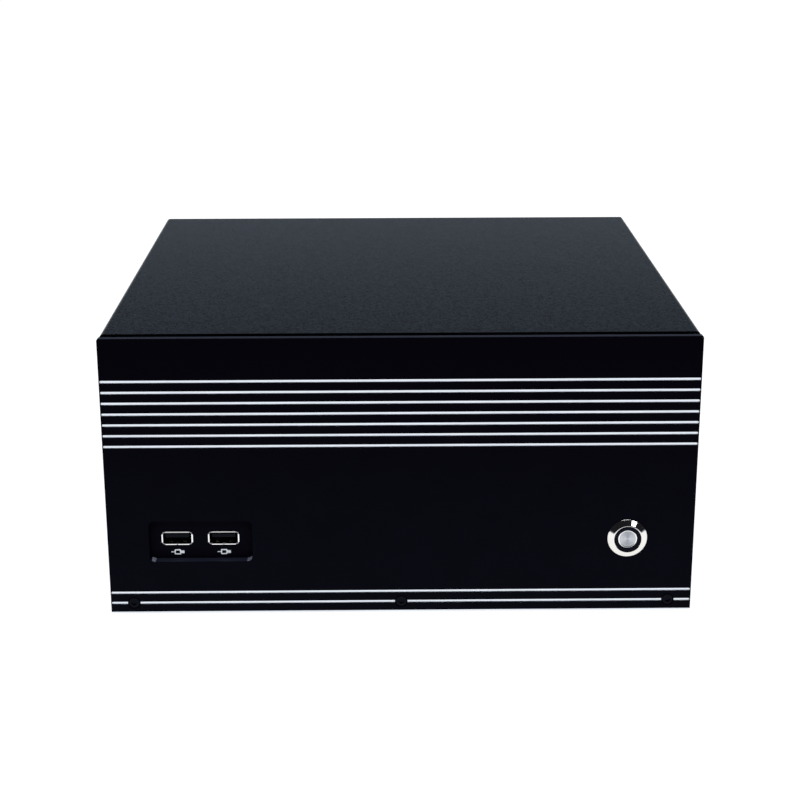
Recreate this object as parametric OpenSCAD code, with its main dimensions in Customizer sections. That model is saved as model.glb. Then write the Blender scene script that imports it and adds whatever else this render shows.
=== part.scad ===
// Desktop mini PC in a folded-steel case behind a milled aluminium front panel.
// Millimetres. X runs to the right, Y to the back and Z up. The origin is on the floor,
// under the middle of the case, which stands on four rubber feet.

/* [Case] */
// Width over the front panel
case_w = 264; // [262:1:268]
// Height of the front panel
panel_h = 130; // [129:1:134]
// Depth from the panel's face to the rear lip of the cover
case_d = 260; // [258:1:270]
// Thickness of the folded sheet steel
sheet = 1; // [0.8:0.1:1.1]
// Height of the panel's lower edge above the floor
panel_lift = 5; // [4:0.5:6]

/* [Front panel] */
// Thickness of the aluminium panel
panel_t = 4.5; // [4.5:0.5:6]
// Distance between neighbouring grooves
groove_pitch = 5; // [4.8:0.1:5.1]
// Width of each groove at the panel's face
groove_w = 1.2; // [0.8:0.1:1.6]
// Depth of each groove
groove_deep = 0.4; // [0.3:0.1:0.8]
// Height of the lowest groove above the panel's lower edge
groove_first = 5.5; // [5.3:0.1:6]
// Distance from the middle to each outer panel screw
panel_screw_x = 121.5; // [120:0.1:123]

/* [Sockets and button] */
// Sideways place of the socket pocket's middle
pocket_x = -90.2; // [-92:0.1:-88]
// Height of the pocket's middle above the panel's lower edge
pocket_up = 35.3; // [34:0.1:37]
// Width of the pocket
pocket_w = 46.4; // [45.6:0.1:48]
// Height of the pocket
pocket_h = 19.4; // [19:0.1:21]
// Distance between the two sockets
socket_gap = 21; // [18:0.5:22]
// Sideways place of the power button
button_x = 102; // [99:0.5:103]
// Height of the power button above the panel's lower edge
button_up = 35.8; // [34:0.1:40]
// Diameter of the button's polished head
button_d = 18; // [17.6:0.1:19]
// Distance that the button's cap travels
cap_travel = 1.2; // [0.8:0.1:1.4]

/* [Fans] */
// Number of blades on each rotor
blades = 7; // [5:1:9]

/* [Hidden] */
$fn = 48;
clear = 0.3; // between the cover and what it slides over
e = 0.01; // overlap that joins two shapes of one piece

// Front to back
y_face = -case_d / 2;
y_rear = case_d / 2;
y_panel = y_face + panel_t;
y_wall = y_panel + sheet;
y_cover = y_panel + 3.5;
y_back_out = y_rear - sheet - clear;
y_back = y_back_out - sheet;

// Heights
panel_z = panel_lift;
panel_top = panel_z + panel_h;
top_gap = 1.4; // between the tray's flanges and the cover's roof
side_gap = 1; // between the tray's sides and the cover's
cover_z = [panel_z + 1, panel_top];
floor_z = cover_z[0] + sheet + clear;
deck_z = floor_z + sheet;
tray_top = cover_z[1] - sheet - top_gap;

// Widths
cover_x = case_w / 2;
tray_x = cover_x - sheet - side_gap;
lip_w = 9;
rail_w = 8;
flange_w = 9;
curb_h = 12;

// Screws: shank, pan head and the hole that lets a shank through
screw_d = 2.9;
pan_d = 6;
pan_h = 2.2;
bezel_rim = 0.15;
bezel_h = 1.85;
screw_hole = 3.2;

// Front fittings
pocket_z = panel_z + pocket_up;
socket_mid = pocket_x - 0.5;
socket_z = pocket_z;
socket_xs = [socket_mid - socket_gap / 2, socket_mid + socket_gap / 2];
button_z = panel_z + button_up;
groove_rows = [0, 1, 15, 16, 17, 18, 19, 20, 21];
panel_screw_z = panel_z + groove_first;
panel_screw_xs = [-panel_screw_x, 0, panel_screw_x];
panel_screw_seat = 1.7; // how deep the panel screws' heads are sunk
barrel_d = 15.8;
barrel_l = 22;
usb_body = [13.1, 5.7];
usb_mouth = [12.5, 5.1];
usb_flare = [14.4, 6.8];
usb_l = 17;
usb_board_z = [socket_z - usb_body[1] / 2 - 1.8, socket_z - usb_body[1] / 2 - 0.2];
usb_board_x = [socket_mid - 21, socket_mid + 21];
usb_board_y = [y_wall + 2, y_wall + 34];

// Mainboard, 170 mm square, on four standoffs
board = 170;
board_z = deck_z + 6.5;
board_top = board_z + 1.6;
board_x = [tray_x - 10 - board, tray_x - 10];
board_y = [y_back - 2.3 - board, y_back - 2.3];
board_holes = [
    [board_x[1] - 6.35, board_y[1] - 10.16],
    [board_x[0] + 6.35, board_y[1] - 33.02],
    [board_x[1] - 6.35, board_y[1] - 165.1],
    [board_x[0] + 6.35, board_y[1] - 165.1]
];
board_hole_d = 4;
cpu_x = board_x[0] + 90;
cpu_y = board_y[1] - 84;
cpu_top = board_top + 7;
sink_top = cpu_top + 29;
cpu_fan = 92;
cpu_fan_t = 25;
dimm_xs = [board_x[1] - 24.5, board_x[1] - 14];
dimm_y = [board_y[0] + 9, board_y[0] + 147];
dimm_h = 8;
latch_y = dimm_y[0] - 3.2;
latch_z = board_top + 3.6;
header_y = board_y[0] + 7;

// Rear sockets on the board
port_y = [board_y[1] - 19.5, y_back_out];
usb_stack_xs = [board_x[1] - 18, board_x[1] - 64, board_x[1] - 92];
usb_stack = [15, 15.6];
video_x = board_x[1] - 41;
network_x = usb_stack_xs[2];
network_z = board_top + usb_stack[1] + 0.4;
audio_x = board_x[0] + 28;
io_x = [board_x[0] + 13, board_x[0] + 171.75];
io_z = [board_top - 3.8, board_top + 40.65];
slot_xs = [board_x[0] + 1, board_x[0] - 19.32];
slot_z = [deck_z + 3.8, deck_z + 108];
slot_screw_y = y_back - 6;

// Power supply, standing on its narrow side
psu_w = 42;
psu_h = 81.5;
psu_l = 150;
psu_t = 0.8;
psu_x = [-tray_x + 7, -tray_x + 7 + psu_w];
psu_y = [y_back - psu_l, y_back];
psu_z = [deck_z + 0.2, deck_z + 0.2 + psu_h];
psu_mid = (psu_x[0] + psu_x[1]) / 2;
psu_fan = 40;
psu_fan_t = 20;
psu_fan_z = psu_z[1] - 20.8;
psu_hole = 16;
psu_screws = [
    for (s = [-1, 1], z = [psu_z[0] + 3.2, psu_fan_z + psu_hole]) [psu_mid + s * psu_hole, z]
];
inlet_flange = [27.6, 37];
inlet_body = [26.4, 34];
inlet_r = 4;
inlet_z = psu_z[0] + 21.5;
inlet_face = y_back + 1.2;
pin_z = inlet_z - 7.5;
rocker_z = inlet_z + 9.2;
rocker_y = inlet_face - 2.4;
rocker_tilt = 9;

// Rear case fan
rear_fan = 60;
rear_fan_t = 15;
rear_fan_x = board_x[1] - 39;
rear_fan_z = tray_top - 38;
rear_fan_hole = 25;
ear_t = 1;

// Drive on its bracket, in front of the board
drive = [100, 69.85, 7];
drive_x = -46;
drive_y = y_wall + 5;
bracket_z = deck_z + 15;
drive_screw_xs = [drive_x + 14, drive_x + 90.6];
drive_screw_ys = [drive_y + 4, drive_y + drive[1] - 4];
bracket_foot_xs = [drive_x - 5, drive_x + drive[0] + 5];

foot_xs = [-case_w / 2 + 26, case_w / 2 - 26];
foot_ys = [y_face + 25, y_rear - 25];
foot_d = 18;
foot_pocket = 4.2;
cover_screw_xs = [-tray_x + 3.2, tray_x - 3.2];
cover_screw_zs = [deck_z + 12, tray_top - 12];

// Header plugs on the board, and the drive's connector edge
usb_header_x = -26;
data_x = 6;
button_header_x = 80.5;
data_plug_top = board_top + 12.5;
power_plug = [board_x[0] + 96, header_y, board_top + 21];
cpu_plug = [board_x[0] + 24, board_y[1] - 30, board_top + 21];
drive_end = [drive_x + drive[0], drive_y + 34, bracket_z + 3.4];
usb_plug_end = [socket_mid, usb_board_y[1] - 2, usb_board_z[1] + 3.5];

// Routes of the leads, from socket to socket
button_route = [
    [button_x, y_face + barrel_l + 14.5, button_z], [100, -82, 38], [94, -66, 32], [86, -52, 28],
    [button_header_x, -42, 28], [button_header_x, header_y, board_top + 5]
];
usb_route = [
    usb_plug_end, usb_plug_end + [0, 8, 0], [-80, -66, 28], [-62, -54, 26], [-50, -46, 30],
    [-36, -44, 40], [-28, -40, 43], [usb_header_x, header_y, 40], [usb_header_x, header_y, 34]
];
drive_route = [
    drive_end + [6, 14, 0], drive_end + [15, 15, 0], [76, -60, 29], [68, -48, 31], [40, -46, 31],
    [22, -46, 33], [10, -44, 38], [data_x, -39, 36], [data_x, header_y, data_plug_top]
];
power_routes = [
    [
        [psu_mid + 8, psu_y[0], 72], [psu_mid + 10, -34, 70], [-60, -44, 62], [-10, -46, 58],
        [28, -43, 54], power_plug + [-8, -1, 9], power_plug + [-8, 0, 0]
    ],
    [
        [psu_mid + 8, psu_y[0], 58], [psu_mid + 10, -38, 56], [-60, -54, 52], [-10, -56, 50],
        [40, -52, 50], power_plug + [8, -2, 9], power_plug + [8, 0, 0]
    ],
    [
        [psu_mid + 8, psu_y[0], 82], [psu_mid + 14, -32, 84], [-72, -22, 80], [-64, 20, 74],
        [-56, 60, 66], [-34, 88, 54], cpu_plug + [0, -1, 9], cpu_plug
    ],
    [
        [psu_mid + 8, psu_y[0], 76 - psu_fan], [psu_mid + 10, -38, 40], [-66, -60, 42],
        [-20, -66, 46], [30, -66, 44], [68, -74, 36], drive_end + [20, -8, 1],
        drive_end + [6, -10, 0]
    ]
];

// ---------------------------------------------------------------- helpers

// Box between two corners, each axis given as [low, high].
module box(x, y, z)
    translate([x[0], y[0], z[0]])
        cube([x[1] - x[0], y[1] - y[0], z[1] - z[0]]);

// Box from a middle point and its three sizes.
module block(middle, size)
    translate(middle) cube(size, center = true);

// Extrudes an X-Z outline backwards from y0.
module along_y(y0, depth)
    translate([0, y0 + depth, 0]) rotate([90, 0, 0]) linear_extrude(depth) children();

// Extrudes a Y-Z outline to the right from x0.
module along_x(x0, depth)
    translate([x0, 0, 0]) rotate([90, 0, 90]) linear_extrude(depth) children();

// Turn what is built along +Z so that it points to the back, or to the front.
module to_back(x, y, z)
    translate([x, y, z]) rotate([-90, 0, 0]) children();
module to_front(x, y, z)
    translate([x, y, z]) rotate([90, 0, 0]) children();

// Rectangle with true round corners, centred.
module rounded_rect(w, h, r) {
    square([w - 2 * r, h], center = true);
    square([w, h - 2 * r], center = true);
    for (sx = [-1, 1], sy = [-1, 1])
        translate([sx * (w / 2 - r), sy * (h / 2 - r)]) circle(r);
}

// A row of upright slots with round ends, centred.
module slot_row(n, pitch, w, h)
    for (i = [0 : n - 1])
        translate([(i - (n - 1) / 2) * pitch, 0]) {
            square([w, h - w], center = true);
            for (s = [-1, 1]) translate([0, s * (h - w) / 2]) circle(d = w);
        }

// Round bar and tube along Z.
module bar(d, z0, z1)
    translate([0, 0, z0]) cylinder(d = d, h = z1 - z0);
module tube(d_out, d_in, z0, z1)
    difference() {
        bar(d_out, z0, z1);
        bar(d_in, z0 - 1, z1 + 1);
    }

// Pan-head screw along Z: the head sits on z = 0 and the shank goes down.
module pan_screw(shank, head, head_t, length) {
    rim = head_t * 0.6;
    recess = head * 0.58;
    difference() {
        union() {
            bar(shank, -length, e);
            bar(head, 0, rim);
            translate([0, 0, rim]) cylinder(d1 = head, d2 = head * 0.7, h = head_t - rim);
        }
        for (a = [0, 90])
            rotate([0, 0, a]) block([0, 0, head_t], [recess, recess * 0.22, head_t]);
    }
}

// Fan housing along Z, with the struts and the bearing tube at its lower end.
module fan_frame(size, thick, hole_out, hub) {
    bore = size - 4;
    strut_t = 1.6;
    difference() {
        linear_extrude(thick)
            difference() {
                rounded_rect(size, size, size * 0.06);
                circle(d = bore);
            }
        for (sx = [-1, 1], sy = [-1, 1])
            translate([sx * hole_out, sy * hole_out, 0]) bar(4.4, -1, thick + 1);
    }
    linear_extrude(strut_t)
        difference() {
            union() {
                circle(d = hub);
                for (a = [45 : 90 : 315])
                    rotate(a) translate([hub / 2 - 1, -1.5]) square([(bore - hub) / 2 + 2, 3]);
            }
            circle(d = 3);
        }
    tube(5.4, 3, strut_t - e, thick * 0.5);
}

// Rotor along Z for the housing above, spinning on a shaft in its bearing tube.
module fan_rotor(size, thick, hub) {
    reach = size - 7;
    pitch = 36;
    chord = min(size * 0.28, (thick - 5) / sin(pitch));
    z0 = 2.4;
    z1 = thick - 0.8;
    difference() {
        bar(hub, z0, z1);
        bar(hub - 3, z0 - 1, z1 - 2);
    }
    bar(2.9, 0.6, z1 - 1);
    intersection() {
        tube(reach, hub - 0.8, z0, z1);
        for (i = [0 : blades - 1])
            rotate([0, 0, 360 * i / blades])
                translate([0, 0, thick / 2 + 0.6])
                    rotate([pitch, 0, 0])
                        translate([hub / 2 - 1, -chord / 2, -0.7]) cube([reach / 2, chord, 1.4]);
    }
}

// Smooth curve through hand-set points.
function between(a, b, c, d, t) =
    0.5 * (2 * b + (c - a) * t + (2 * a - 5 * b + 4 * c - d) * t * t
        + (3 * b - 3 * c + d - a) * t * t * t);
function smooth(p, steps) = [
    for (i = [0 : len(p) - 2], s = [0 : steps - 1])
        between(p[max(i - 1, 0)], p[i], p[i + 1], p[min(i + 2, len(p) - 1)], s / steps),
    p[len(p) - 1]
];
function heading(p, i) =
    let (d = p[min(i + 1, len(p) - 1)] - p[max(i - 1, 0)]) d / norm(d);

// Side directions of a lead's rings, each turned as little as possible from the last.
function sides_of(p, i = 0, last = [1, 0, 0], done = []) =
    i == len(p) ? done
    : let (h = heading(p, i), s = last - (last * h) * h, side = s / norm(s))
        sides_of(p, i + 1, side, concat(done, [side]));

// Round lead of diameter d, closed at both ends.
module lead(route, d, steps = 5) {
    n_side = 8;
    p = smooth(route, steps);
    n = len(p);
    side = sides_of(p);
    points = [
        for (i = [0 : n - 1], k = [0 : n_side - 1])
            let (a = 360 * k / n_side, up = cross(heading(p, i), side[i]))
            p[i] + d / 2 * (cos(a) * side[i] + sin(a) * up)
    ];
    skin = [
        for (i = [0 : n - 2], k = [0 : n_side - 1])
            let (a = i * n_side + k, b = i * n_side + (k + 1) % n_side)
            each [[a, b + n_side, b], [a, a + n_side, b + n_side]]
    ];
    ends = [
        [for (k = [0 : n_side - 1]) k],
        [for (k = [n_side - 1 : -1 : 0]) (n - 1) * n_side + k]
    ];
    polyhedron(points, concat(skin, ends));
}

// ---------------------------------------------------------------- front panel

// Flat-bottomed groove with round ends, stopping just short of the panel's sides.
module groove(z) {
    end_gap = 0.45;
    along_y(y_face - 1, 1 + groove_deep)
        translate([0, z]) rounded_rect(case_w - 2 * end_gap, groove_w, groove_w / 2 - e);
}

module front_panel() {
    bevel = 1.2;
    color([0.03, 0.03, 0.05])
        difference() {
            along_y(y_face, panel_t)
                difference() {
                    translate([0, panel_z + panel_h / 2]) rounded_rect(case_w, panel_h, 1.2);
                    translate([pocket_x, pocket_z]) rounded_rect(pocket_w, pocket_h, 2.5);
                    translate([button_x, button_z]) circle(d = 16.4);
                    for (x = panel_screw_xs) translate([x, panel_screw_z]) circle(d = 3.4);
                }
            for (row = groove_rows) groove(panel_screw_z + row * groove_pitch);
            along_x(-case_w / 2 - 1, case_w + 2)
                polygon([
                    [y_face - 1, panel_z - 1], [y_face + bevel + 1, panel_z - 1],
                    [y_face - 1, panel_z + bevel + 1]
                ]);
            for (x = panel_screw_xs)
                to_back(x, y_face, panel_screw_z) bar(5.8, -1, panel_screw_seat);
        }
}

module front_panel_screws()
    color([0.05, 0.05, 0.06])
    for (x = panel_screw_xs)
        to_back(x, y_face, panel_screw_z)
            difference() {
                union() {
                    bar(5.2, 0.15, panel_screw_seat);
                    bar(screw_d, panel_screw_seat - e, panel_t + sheet + 4);
                }
                translate([0, 0, -1]) cylinder(d = 2.8, h = 2.1, $fn = 6);
            }

// Generic plug outline, printed under each socket on the pocket's floor.
module port_marks()
    color("white")
    for (x = socket_xs)
        along_y(y_panel - 0.06, 0.06)
            translate([x, panel_z + 28.6]) {
                difference() {
                    square([3, 2.5], center = true);
                    square([2, 1.5], center = true);
                }
                translate([1.5, -0.65]) square([1.5, 1.3]);
                translate([-3, -0.2]) square([1.5 + e, 0.4]);
            }

// ---------------------------------------------------------------- sheet metal

module cover_outline(grow)
    translate([0, (cover_z[0] + cover_z[1]) / 2])
        rounded_rect(2 * (cover_x + grow), cover_z[1] - cover_z[0] + 2 * grow, 2 + grow);

module top_cover()
    color([0.16, 0.18, 0.2])
    difference() {
        union() {
            along_y(y_cover, y_rear - y_cover)
                difference() {
                    cover_outline(0);
                    cover_outline(-sheet);
                    translate([-cover_x + rail_w, 0])
                        square([2 * (cover_x - rail_w), cover_z[0] + sheet + 1]);
                }
            along_y(y_rear - sheet, sheet)
                difference() {
                    cover_outline(-sheet / 2);
                    translate([-cover_x + lip_w, 0])
                        square([2 * (cover_x - lip_w), tray_top - lip_w + 1]);
                }
        }
        along_x(-cover_x - 1, 2 * cover_x + 2)
            for (row = [-1, 1]) translate([12, 72 + row * 15]) slot_row(13, 8, 3, 24);
        for (x = cover_screw_xs, z = cover_screw_zs)
            to_back(x, y_rear - sheet - 1, z) bar(screw_hole, 0, sheet + 2);
    }

module cover_screws()
    color([0.06, 0.06, 0.07])
    for (x = cover_screw_xs, z = cover_screw_zs)
        to_back(x, y_rear, z) pan_screw(screw_d, pan_d, pan_h, 8);

module tray_folds() {
    box([-tray_x, tray_x], [y_panel, y_back_out], [floor_z, deck_z]);
    for (s = [0, 1])
        mirror([s, 0, 0])
            box([tray_x - sheet, tray_x], [y_panel, y_back_out], [floor_z, deck_z + curb_h]);
    box([-tray_x, tray_x], [y_panel, y_wall], [floor_z, tray_top]);
    box([-tray_x, tray_x], [y_back, y_back_out], [floor_z, tray_top]);
    box([-tray_x, tray_x], [y_panel, y_wall + flange_w], [tray_top - sheet, tray_top]);
    box([-tray_x, tray_x], [y_back - flange_w, y_back_out], [tray_top - sheet, tray_top]);
    slot_shelf();
}

// Shelf that the slot covers are screwed to, held by a gusset at each end.
module slot_shelf() {
    ends = [slot_xs[1] - 11, slot_xs[0] + 11];
    box(ends, [y_back - 12, y_back - 1.2], [slot_z[1] - sheet, slot_z[1]]);
    for (x = [ends[0], ends[1] - sheet])
        box([x, x + sheet], [y_back - 12, y_back + e], [slot_z[1] - 8, slot_z[1]]);
}

module front_wall_cuts()
    along_y(y_panel - 1, sheet + 2) {
        for (x = socket_xs) translate([x, socket_z]) square([13.6, 6.1], center = true);
        translate([button_x, button_z]) circle(d = 16.4);
        for (x = panel_screw_xs) translate([x, panel_screw_z]) circle(d = 3.1);
    }

module rear_wall_cuts()
    along_y(y_back - 1, sheet + 2) {
        translate([io_x[0], io_z[0]]) square([io_x[1] - io_x[0], io_z[1] - io_z[0]]);
        for (x = slot_xs)
            translate([x - 6.5, slot_z[0]]) square([13, slot_z[1] - slot_z[0] - 4]);
        translate([psu_mid, inlet_z])
            rounded_rect(inlet_flange[0] + 1, inlet_flange[1] + 1, inlet_r + 0.5);
        translate([psu_mid, psu_fan_z]) circle(d = psu_fan - 2);
        for (p = psu_screws) translate(p) circle(d = screw_hole);
        translate([rear_fan_x, rear_fan_z]) circle(d = rear_fan - 3);
        for (sx = [-1, 1], sz = [-1, 1])
            translate([rear_fan_x + sx * rear_fan_hole, rear_fan_z + sz * rear_fan_hole])
                circle(d = 4.4);
        translate([10, rear_fan_z]) slot_row(8, 8, 3, 44);
        for (x = cover_screw_xs, z = cover_screw_zs) translate([x, z]) circle(d = 3.1);
    }

module floor_cuts()
    translate([0, 0, floor_z - 1])
        linear_extrude(sheet + 2) {
            translate([cpu_x, cpu_y]) rotate(90) slot_row(8, 9, 3.2, 60);
            for (x = foot_xs, y = foot_ys) translate([x, y]) circle(d = 3.1);
            for (p = board_holes) translate(p) circle(d = 3.4);
            for (x = bracket_foot_xs, y = drive_screw_ys) translate([x, y]) circle(d = 3.1);
        }

module chassis_tray()
    color([0.1, 0.1, 0.11])
    difference() {
        tray_folds();
        front_wall_cuts();
        rear_wall_cuts();
        floor_cuts();
        for (x = slot_xs) translate([x, slot_screw_y, slot_z[1] - 3]) bar(3.1, 0, 4);
    }

module rubber_feet()
    color([0.04, 0.04, 0.04])
    for (x = foot_xs, y = foot_ys)
        translate([x, y, 0])
            difference() {
                union() {
                    cylinder(d1 = foot_d - 2, d2 = foot_d, h = 1.2);
                    bar(foot_d, 1.2 - e, floor_z);
                }
                bar(8, -1, foot_pocket);
                bar(3.4, -1, floor_z + 1);
            }

module foot_screws()
    color([0.7, 0.7, 0.72])
    for (x = foot_xs, y = foot_ys)
        translate([x, y, foot_pocket]) mirror([0, 0, 1]) pan_screw(screw_d, pan_d, 2, deck_z - foot_pocket + 0.1);

module slot_covers() {
    t = 0.86;
    color([0.12, 0.12, 0.13])
        for (x = slot_xs)
            difference() {
                union() {
                    box([x - 9.2, x + 9.2], [y_back - t, y_back], [deck_z + 2, slot_z[1] + t]);
                    box([x - 9.2, x + 9.2], [y_back - 11, y_back - e], [slot_z[1], slot_z[1] + t]);
                }
                translate([x, slot_screw_y, slot_z[1] - 1]) bar(4.2, 0, 4);
            }
}

// Identical pan-head screws of the power supply and of the slot covers.
module rear_wall_screws()
    color([0.75, 0.75, 0.76]) {
        for (p = psu_screws)
            to_back(p[0], y_back_out, p[1]) pan_screw(screw_d, pan_d, pan_h, 6);
        for (x = slot_xs)
            translate([x, slot_screw_y, slot_z[1] + 0.86]) pan_screw(screw_d, pan_d, pan_h, 6);
    }

// Pressed plate that fills the aperture around the rear sockets.
module io_shield() {
    fit = 0.3;
    color([0.75, 0.76, 0.78])
        difference() {
            union() {
                box([io_x[0] + 0.1, io_x[1] - 0.1], [y_back - 0.5, y_back + 0.3], [io_z[0] + 0.1, io_z[1] - 0.1]);
                box([io_x[0] - 2, io_x[1] + 2], [y_back - 0.5, y_back], [io_z[0] - 2, io_z[1] + 2]);
            }
            along_y(y_back - 2, 4) {
                for (x = usb_stack_xs)
                    translate([x, board_top + usb_stack[1] / 2])
                        square(usb_stack + [2 * fit, 2 * fit], center = true);
                translate([network_x, network_z + 6.75]) square([16.6, 14.1], center = true);
                translate([video_x, board_top + 5.1]) square([18, 11.4], center = true);
                translate([video_x, board_top + 18.6]) square([18, 8.4], center = true);
                for (z = audio_zs) translate([audio_x, z]) circle(d = 9);
            }
        }
}
audio_zs = [for (i = [0 : 2]) board_top + 6 + 11.5 * i];

// ---------------------------------------------------------------- power button

module power_button_bezel()
    color([0.7, 0.7, 0.72])
    to_front(button_x, y_face, button_z)
        difference() {
            union() {
                bar(barrel_d, -barrel_l, e);
                bar(button_d, 0, bezel_rim);
                translate([0, 0, bezel_rim - e]) cylinder(d1 = button_d, d2 = 13, h = bezel_h - bezel_rim + e);
            }
            bar(12.2, -barrel_l - 1, bezel_h + 1);
        }

module power_button_ring()
    color([0.1, 0.1, 0.12])
    to_front(button_x, y_face, button_z)
        tube(12.1, 8.8, -8, bezel_h - 0.2);

module power_button_cap()
    color([0.6, 0.6, 0.63])
    to_front(button_x, y_face, button_z) {
        bar(8.6, -6, bezel_h - 0.1);
        bar(4.6, -13, -6 + e);
    }

module power_button_spring()
    color([0.7, 0.7, 0.7])
    to_front(button_x, y_face, button_z) {
        turns = 5;
        coil = [for (a = [0 : 30 : 360 * turns]) [3.3 * cos(a), 3.3 * sin(a), -15 + 7 * a / 360 / turns]];
        lead(coil, 0.7, steps = 1);
    }

module power_button_nut()
    color([0.65, 0.65, 0.66])
    to_front(button_x, y_wall, button_z)
        difference() {
            translate([0, 0, -3.5]) cylinder(d = 21.5, h = 3.5, $fn = 6);
            bar(16, -5, 1);
        }

module power_button_base() {
    pin_gap = 4;
    color([0.08, 0.08, 0.08])
        to_front(button_x, y_face, button_z)
            difference() {
                union() {
                    bar(11.9, -barrel_l - 0.2, -15.6);
                    bar(14, -barrel_l - 10, -barrel_l - 0.1);
                    for (sx = [-1, 1], sy = [-1, 1])
                        block([sx * pin_gap, sy * pin_gap, -barrel_l - 12], [2, 0.6, 5]);
                }
                bar(5, -barrel_l, -15);
            }
}

module power_button_lead()
    color([0.5, 0.05, 0.05])
    lead(button_route, 2.6);

// ---------------------------------------------------------------- front sockets

module front_usb_shells()
    color([0.8, 0.8, 0.82])
    for (x = socket_xs) {
        along_y(y_panel - 0.6, 0.6)
            translate([x, socket_z])
                difference() {
                    rounded_rect(usb_flare[0], usb_flare[1], 0.8);
                    square(usb_mouth, center = true);
                }
        along_y(y_panel - e, usb_l)
            translate([x, socket_z])
                difference() {
                    square(usb_body, center = true);
                    square(usb_mouth, center = true);
                }
        box([x - usb_mouth[0] / 2 - e, x + usb_mouth[0] / 2 + e], [y_panel + usb_l - 0.3, y_panel + usb_l],
            [socket_z - usb_mouth[1] / 2 - e, socket_z + usb_mouth[1] / 2 + e]);
    }

module front_usb_tongues()
    color([0.06, 0.06, 0.07])
    for (x = socket_xs) {
        box([x - 5.5, x + 5.5], [y_panel + 0.4, y_panel + usb_l - 3], [socket_z + 0.2, socket_z + 2.1]);
        box([x - 6.1, x + 6.1], [y_panel + usb_l - 3 - e, y_panel + usb_l - 0.4],
            [socket_z - 2.4, socket_z + 2.4]);
    }

module front_usb_contacts()
    color([0.8, 0.65, 0.25])
    for (x = socket_xs, dx = [-3.5, -1, 1, 3.5])
        box([x + dx - 0.5, x + dx + 0.5], [y_panel + 1.2, y_panel + usb_l - 3.1],
            [socket_z, socket_z + 0.2]);

module front_usb_board()
    color([0.03, 0.12, 0.06]) {
        box(usb_board_x, usb_board_y, usb_board_z);
        box([socket_mid - 8, socket_mid + 8], [usb_board_y[1] - 10, usb_board_y[1] - 2],
            [usb_board_z[1] - e, usb_board_z[1] + 7]);
    }

// Shelf under the socket board, folded up against the front wall on both sides.
module usb_board_bracket() {
    shelf_x = [usb_board_x[0] - 4, usb_board_x[1] + 4];
    shelf_z = usb_board_z[0] - 3;
    color([0.6, 0.6, 0.62]) {
        box(shelf_x, [y_wall, usb_board_y[1]], [shelf_z - sheet, shelf_z]);
        for (x = [shelf_x[0], shelf_x[1] - 3])
            box([x, x + 3], [y_wall, y_wall + sheet], [shelf_z - e, shelf_z + 12]);
        for (x = [usb_board_x[0] + 4, usb_board_x[1] - 4], y = [usb_board_y[0] + 4, usb_board_y[1] - 4])
            translate([x, y, 0]) bar(5, shelf_z - e, usb_board_z[0]);
    }
}

module front_usb_lead()
    color([0.08, 0.08, 0.08])
    lead(usb_route, 5);

// ---------------------------------------------------------------- mainboard

module mainboard()
    color([0.03, 0.05, 0.04])
    difference() {
        box(board_x, board_y, [board_z, board_top]);
        for (p = board_holes) translate([p[0], p[1], 0]) bar(board_hole_d, board_z - 1, board_top + 1);
    }

module board_standoffs()
    color([0.75, 0.6, 0.3])
    for (p = board_holes)
        translate([p[0], p[1], 0])
            difference() {
                union() {
                    translate([0, 0, deck_z]) cylinder(d = 6.4, h = board_z - deck_z, $fn = 6);
                    bar(screw_hole, floor_z, deck_z + e);
                }
                bar(3, deck_z + 1, board_z + 1);
            }

module board_and_drive_screws()
    color([0.7, 0.7, 0.72]) {
        for (p = board_holes)
            translate([p[0], p[1], board_top]) pan_screw(screw_d, pan_d, 2, 5);
        for (x = bracket_foot_xs, y = drive_screw_ys)
            translate([x, y, deck_z + sheet]) pan_screw(screw_d, pan_d, 2, 2);
        for (x = drive_screw_xs, y = drive_screw_ys)
            translate([x, y, bracket_z - sheet]) mirror([0, 0, 1]) pan_screw(screw_d, pan_d, 2, 3.5);
    }

module processor()
    color([0.7, 0.7, 0.72]) {
        block([cpu_x, cpu_y, board_top + 2], [44, 44, 4]);
        block([cpu_x, cpu_y, board_top + 5 - e], [30, 30, 4 - 2 * e]);
    }

module heatsink() {
    base_t = 5;
    fins = 23;
    fin_gap = 3.8;
    leg = 37.5;
    color([0.75, 0.76, 0.78]) {
        block([cpu_x, cpu_y, cpu_top + base_t / 2], [90, 88, base_t]);
        for (i = [0 : fins - 1])
            translate([cpu_x + (i - (fins - 1) / 2) * fin_gap, cpu_y, 0])
                box([-0.5, 0.5], [-44, 44], [cpu_top + base_t - e, sink_top]);
        for (sx = [-1, 1], sy = [-1, 1])
            translate([cpu_x + sx * leg, cpu_y + sy * leg, 0]) bar(6, board_top, cpu_top + e);
    }
}

module cpu_fan_frame()
    color([0.05, 0.05, 0.05])
    translate([cpu_x, cpu_y, sink_top]) fan_frame(cpu_fan, cpu_fan_t, 41.25, 38);

module cpu_fan_rotor()
    color([0.07, 0.07, 0.07])
    translate([cpu_x, cpu_y, sink_top]) fan_rotor(cpu_fan, cpu_fan_t, 38);

module memory_sockets()
    color([0.06, 0.06, 0.07])
    for (x = dimm_xs) {
        difference() {
            box([x - 3.3, x + 3.3], dimm_y, [board_top, board_top + dimm_h]);
            box([x - 0.9, x + 0.9], [dimm_y[0] + 3, dimm_y[1] - 1], [board_top + 2, board_top + dimm_h + 1]);
        }
        for (side = [-1, 1])
            box([x + side * 3.1 - 0.6, x + side * 3.1 + 0.6], [latch_y - 2.6, dimm_y[0] + e],
                [board_top, board_top + dimm_h]);
        translate([x - 3, latch_y, latch_z]) rotate([0, 90, 0]) bar(1.8, 0, 6);
    }

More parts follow.
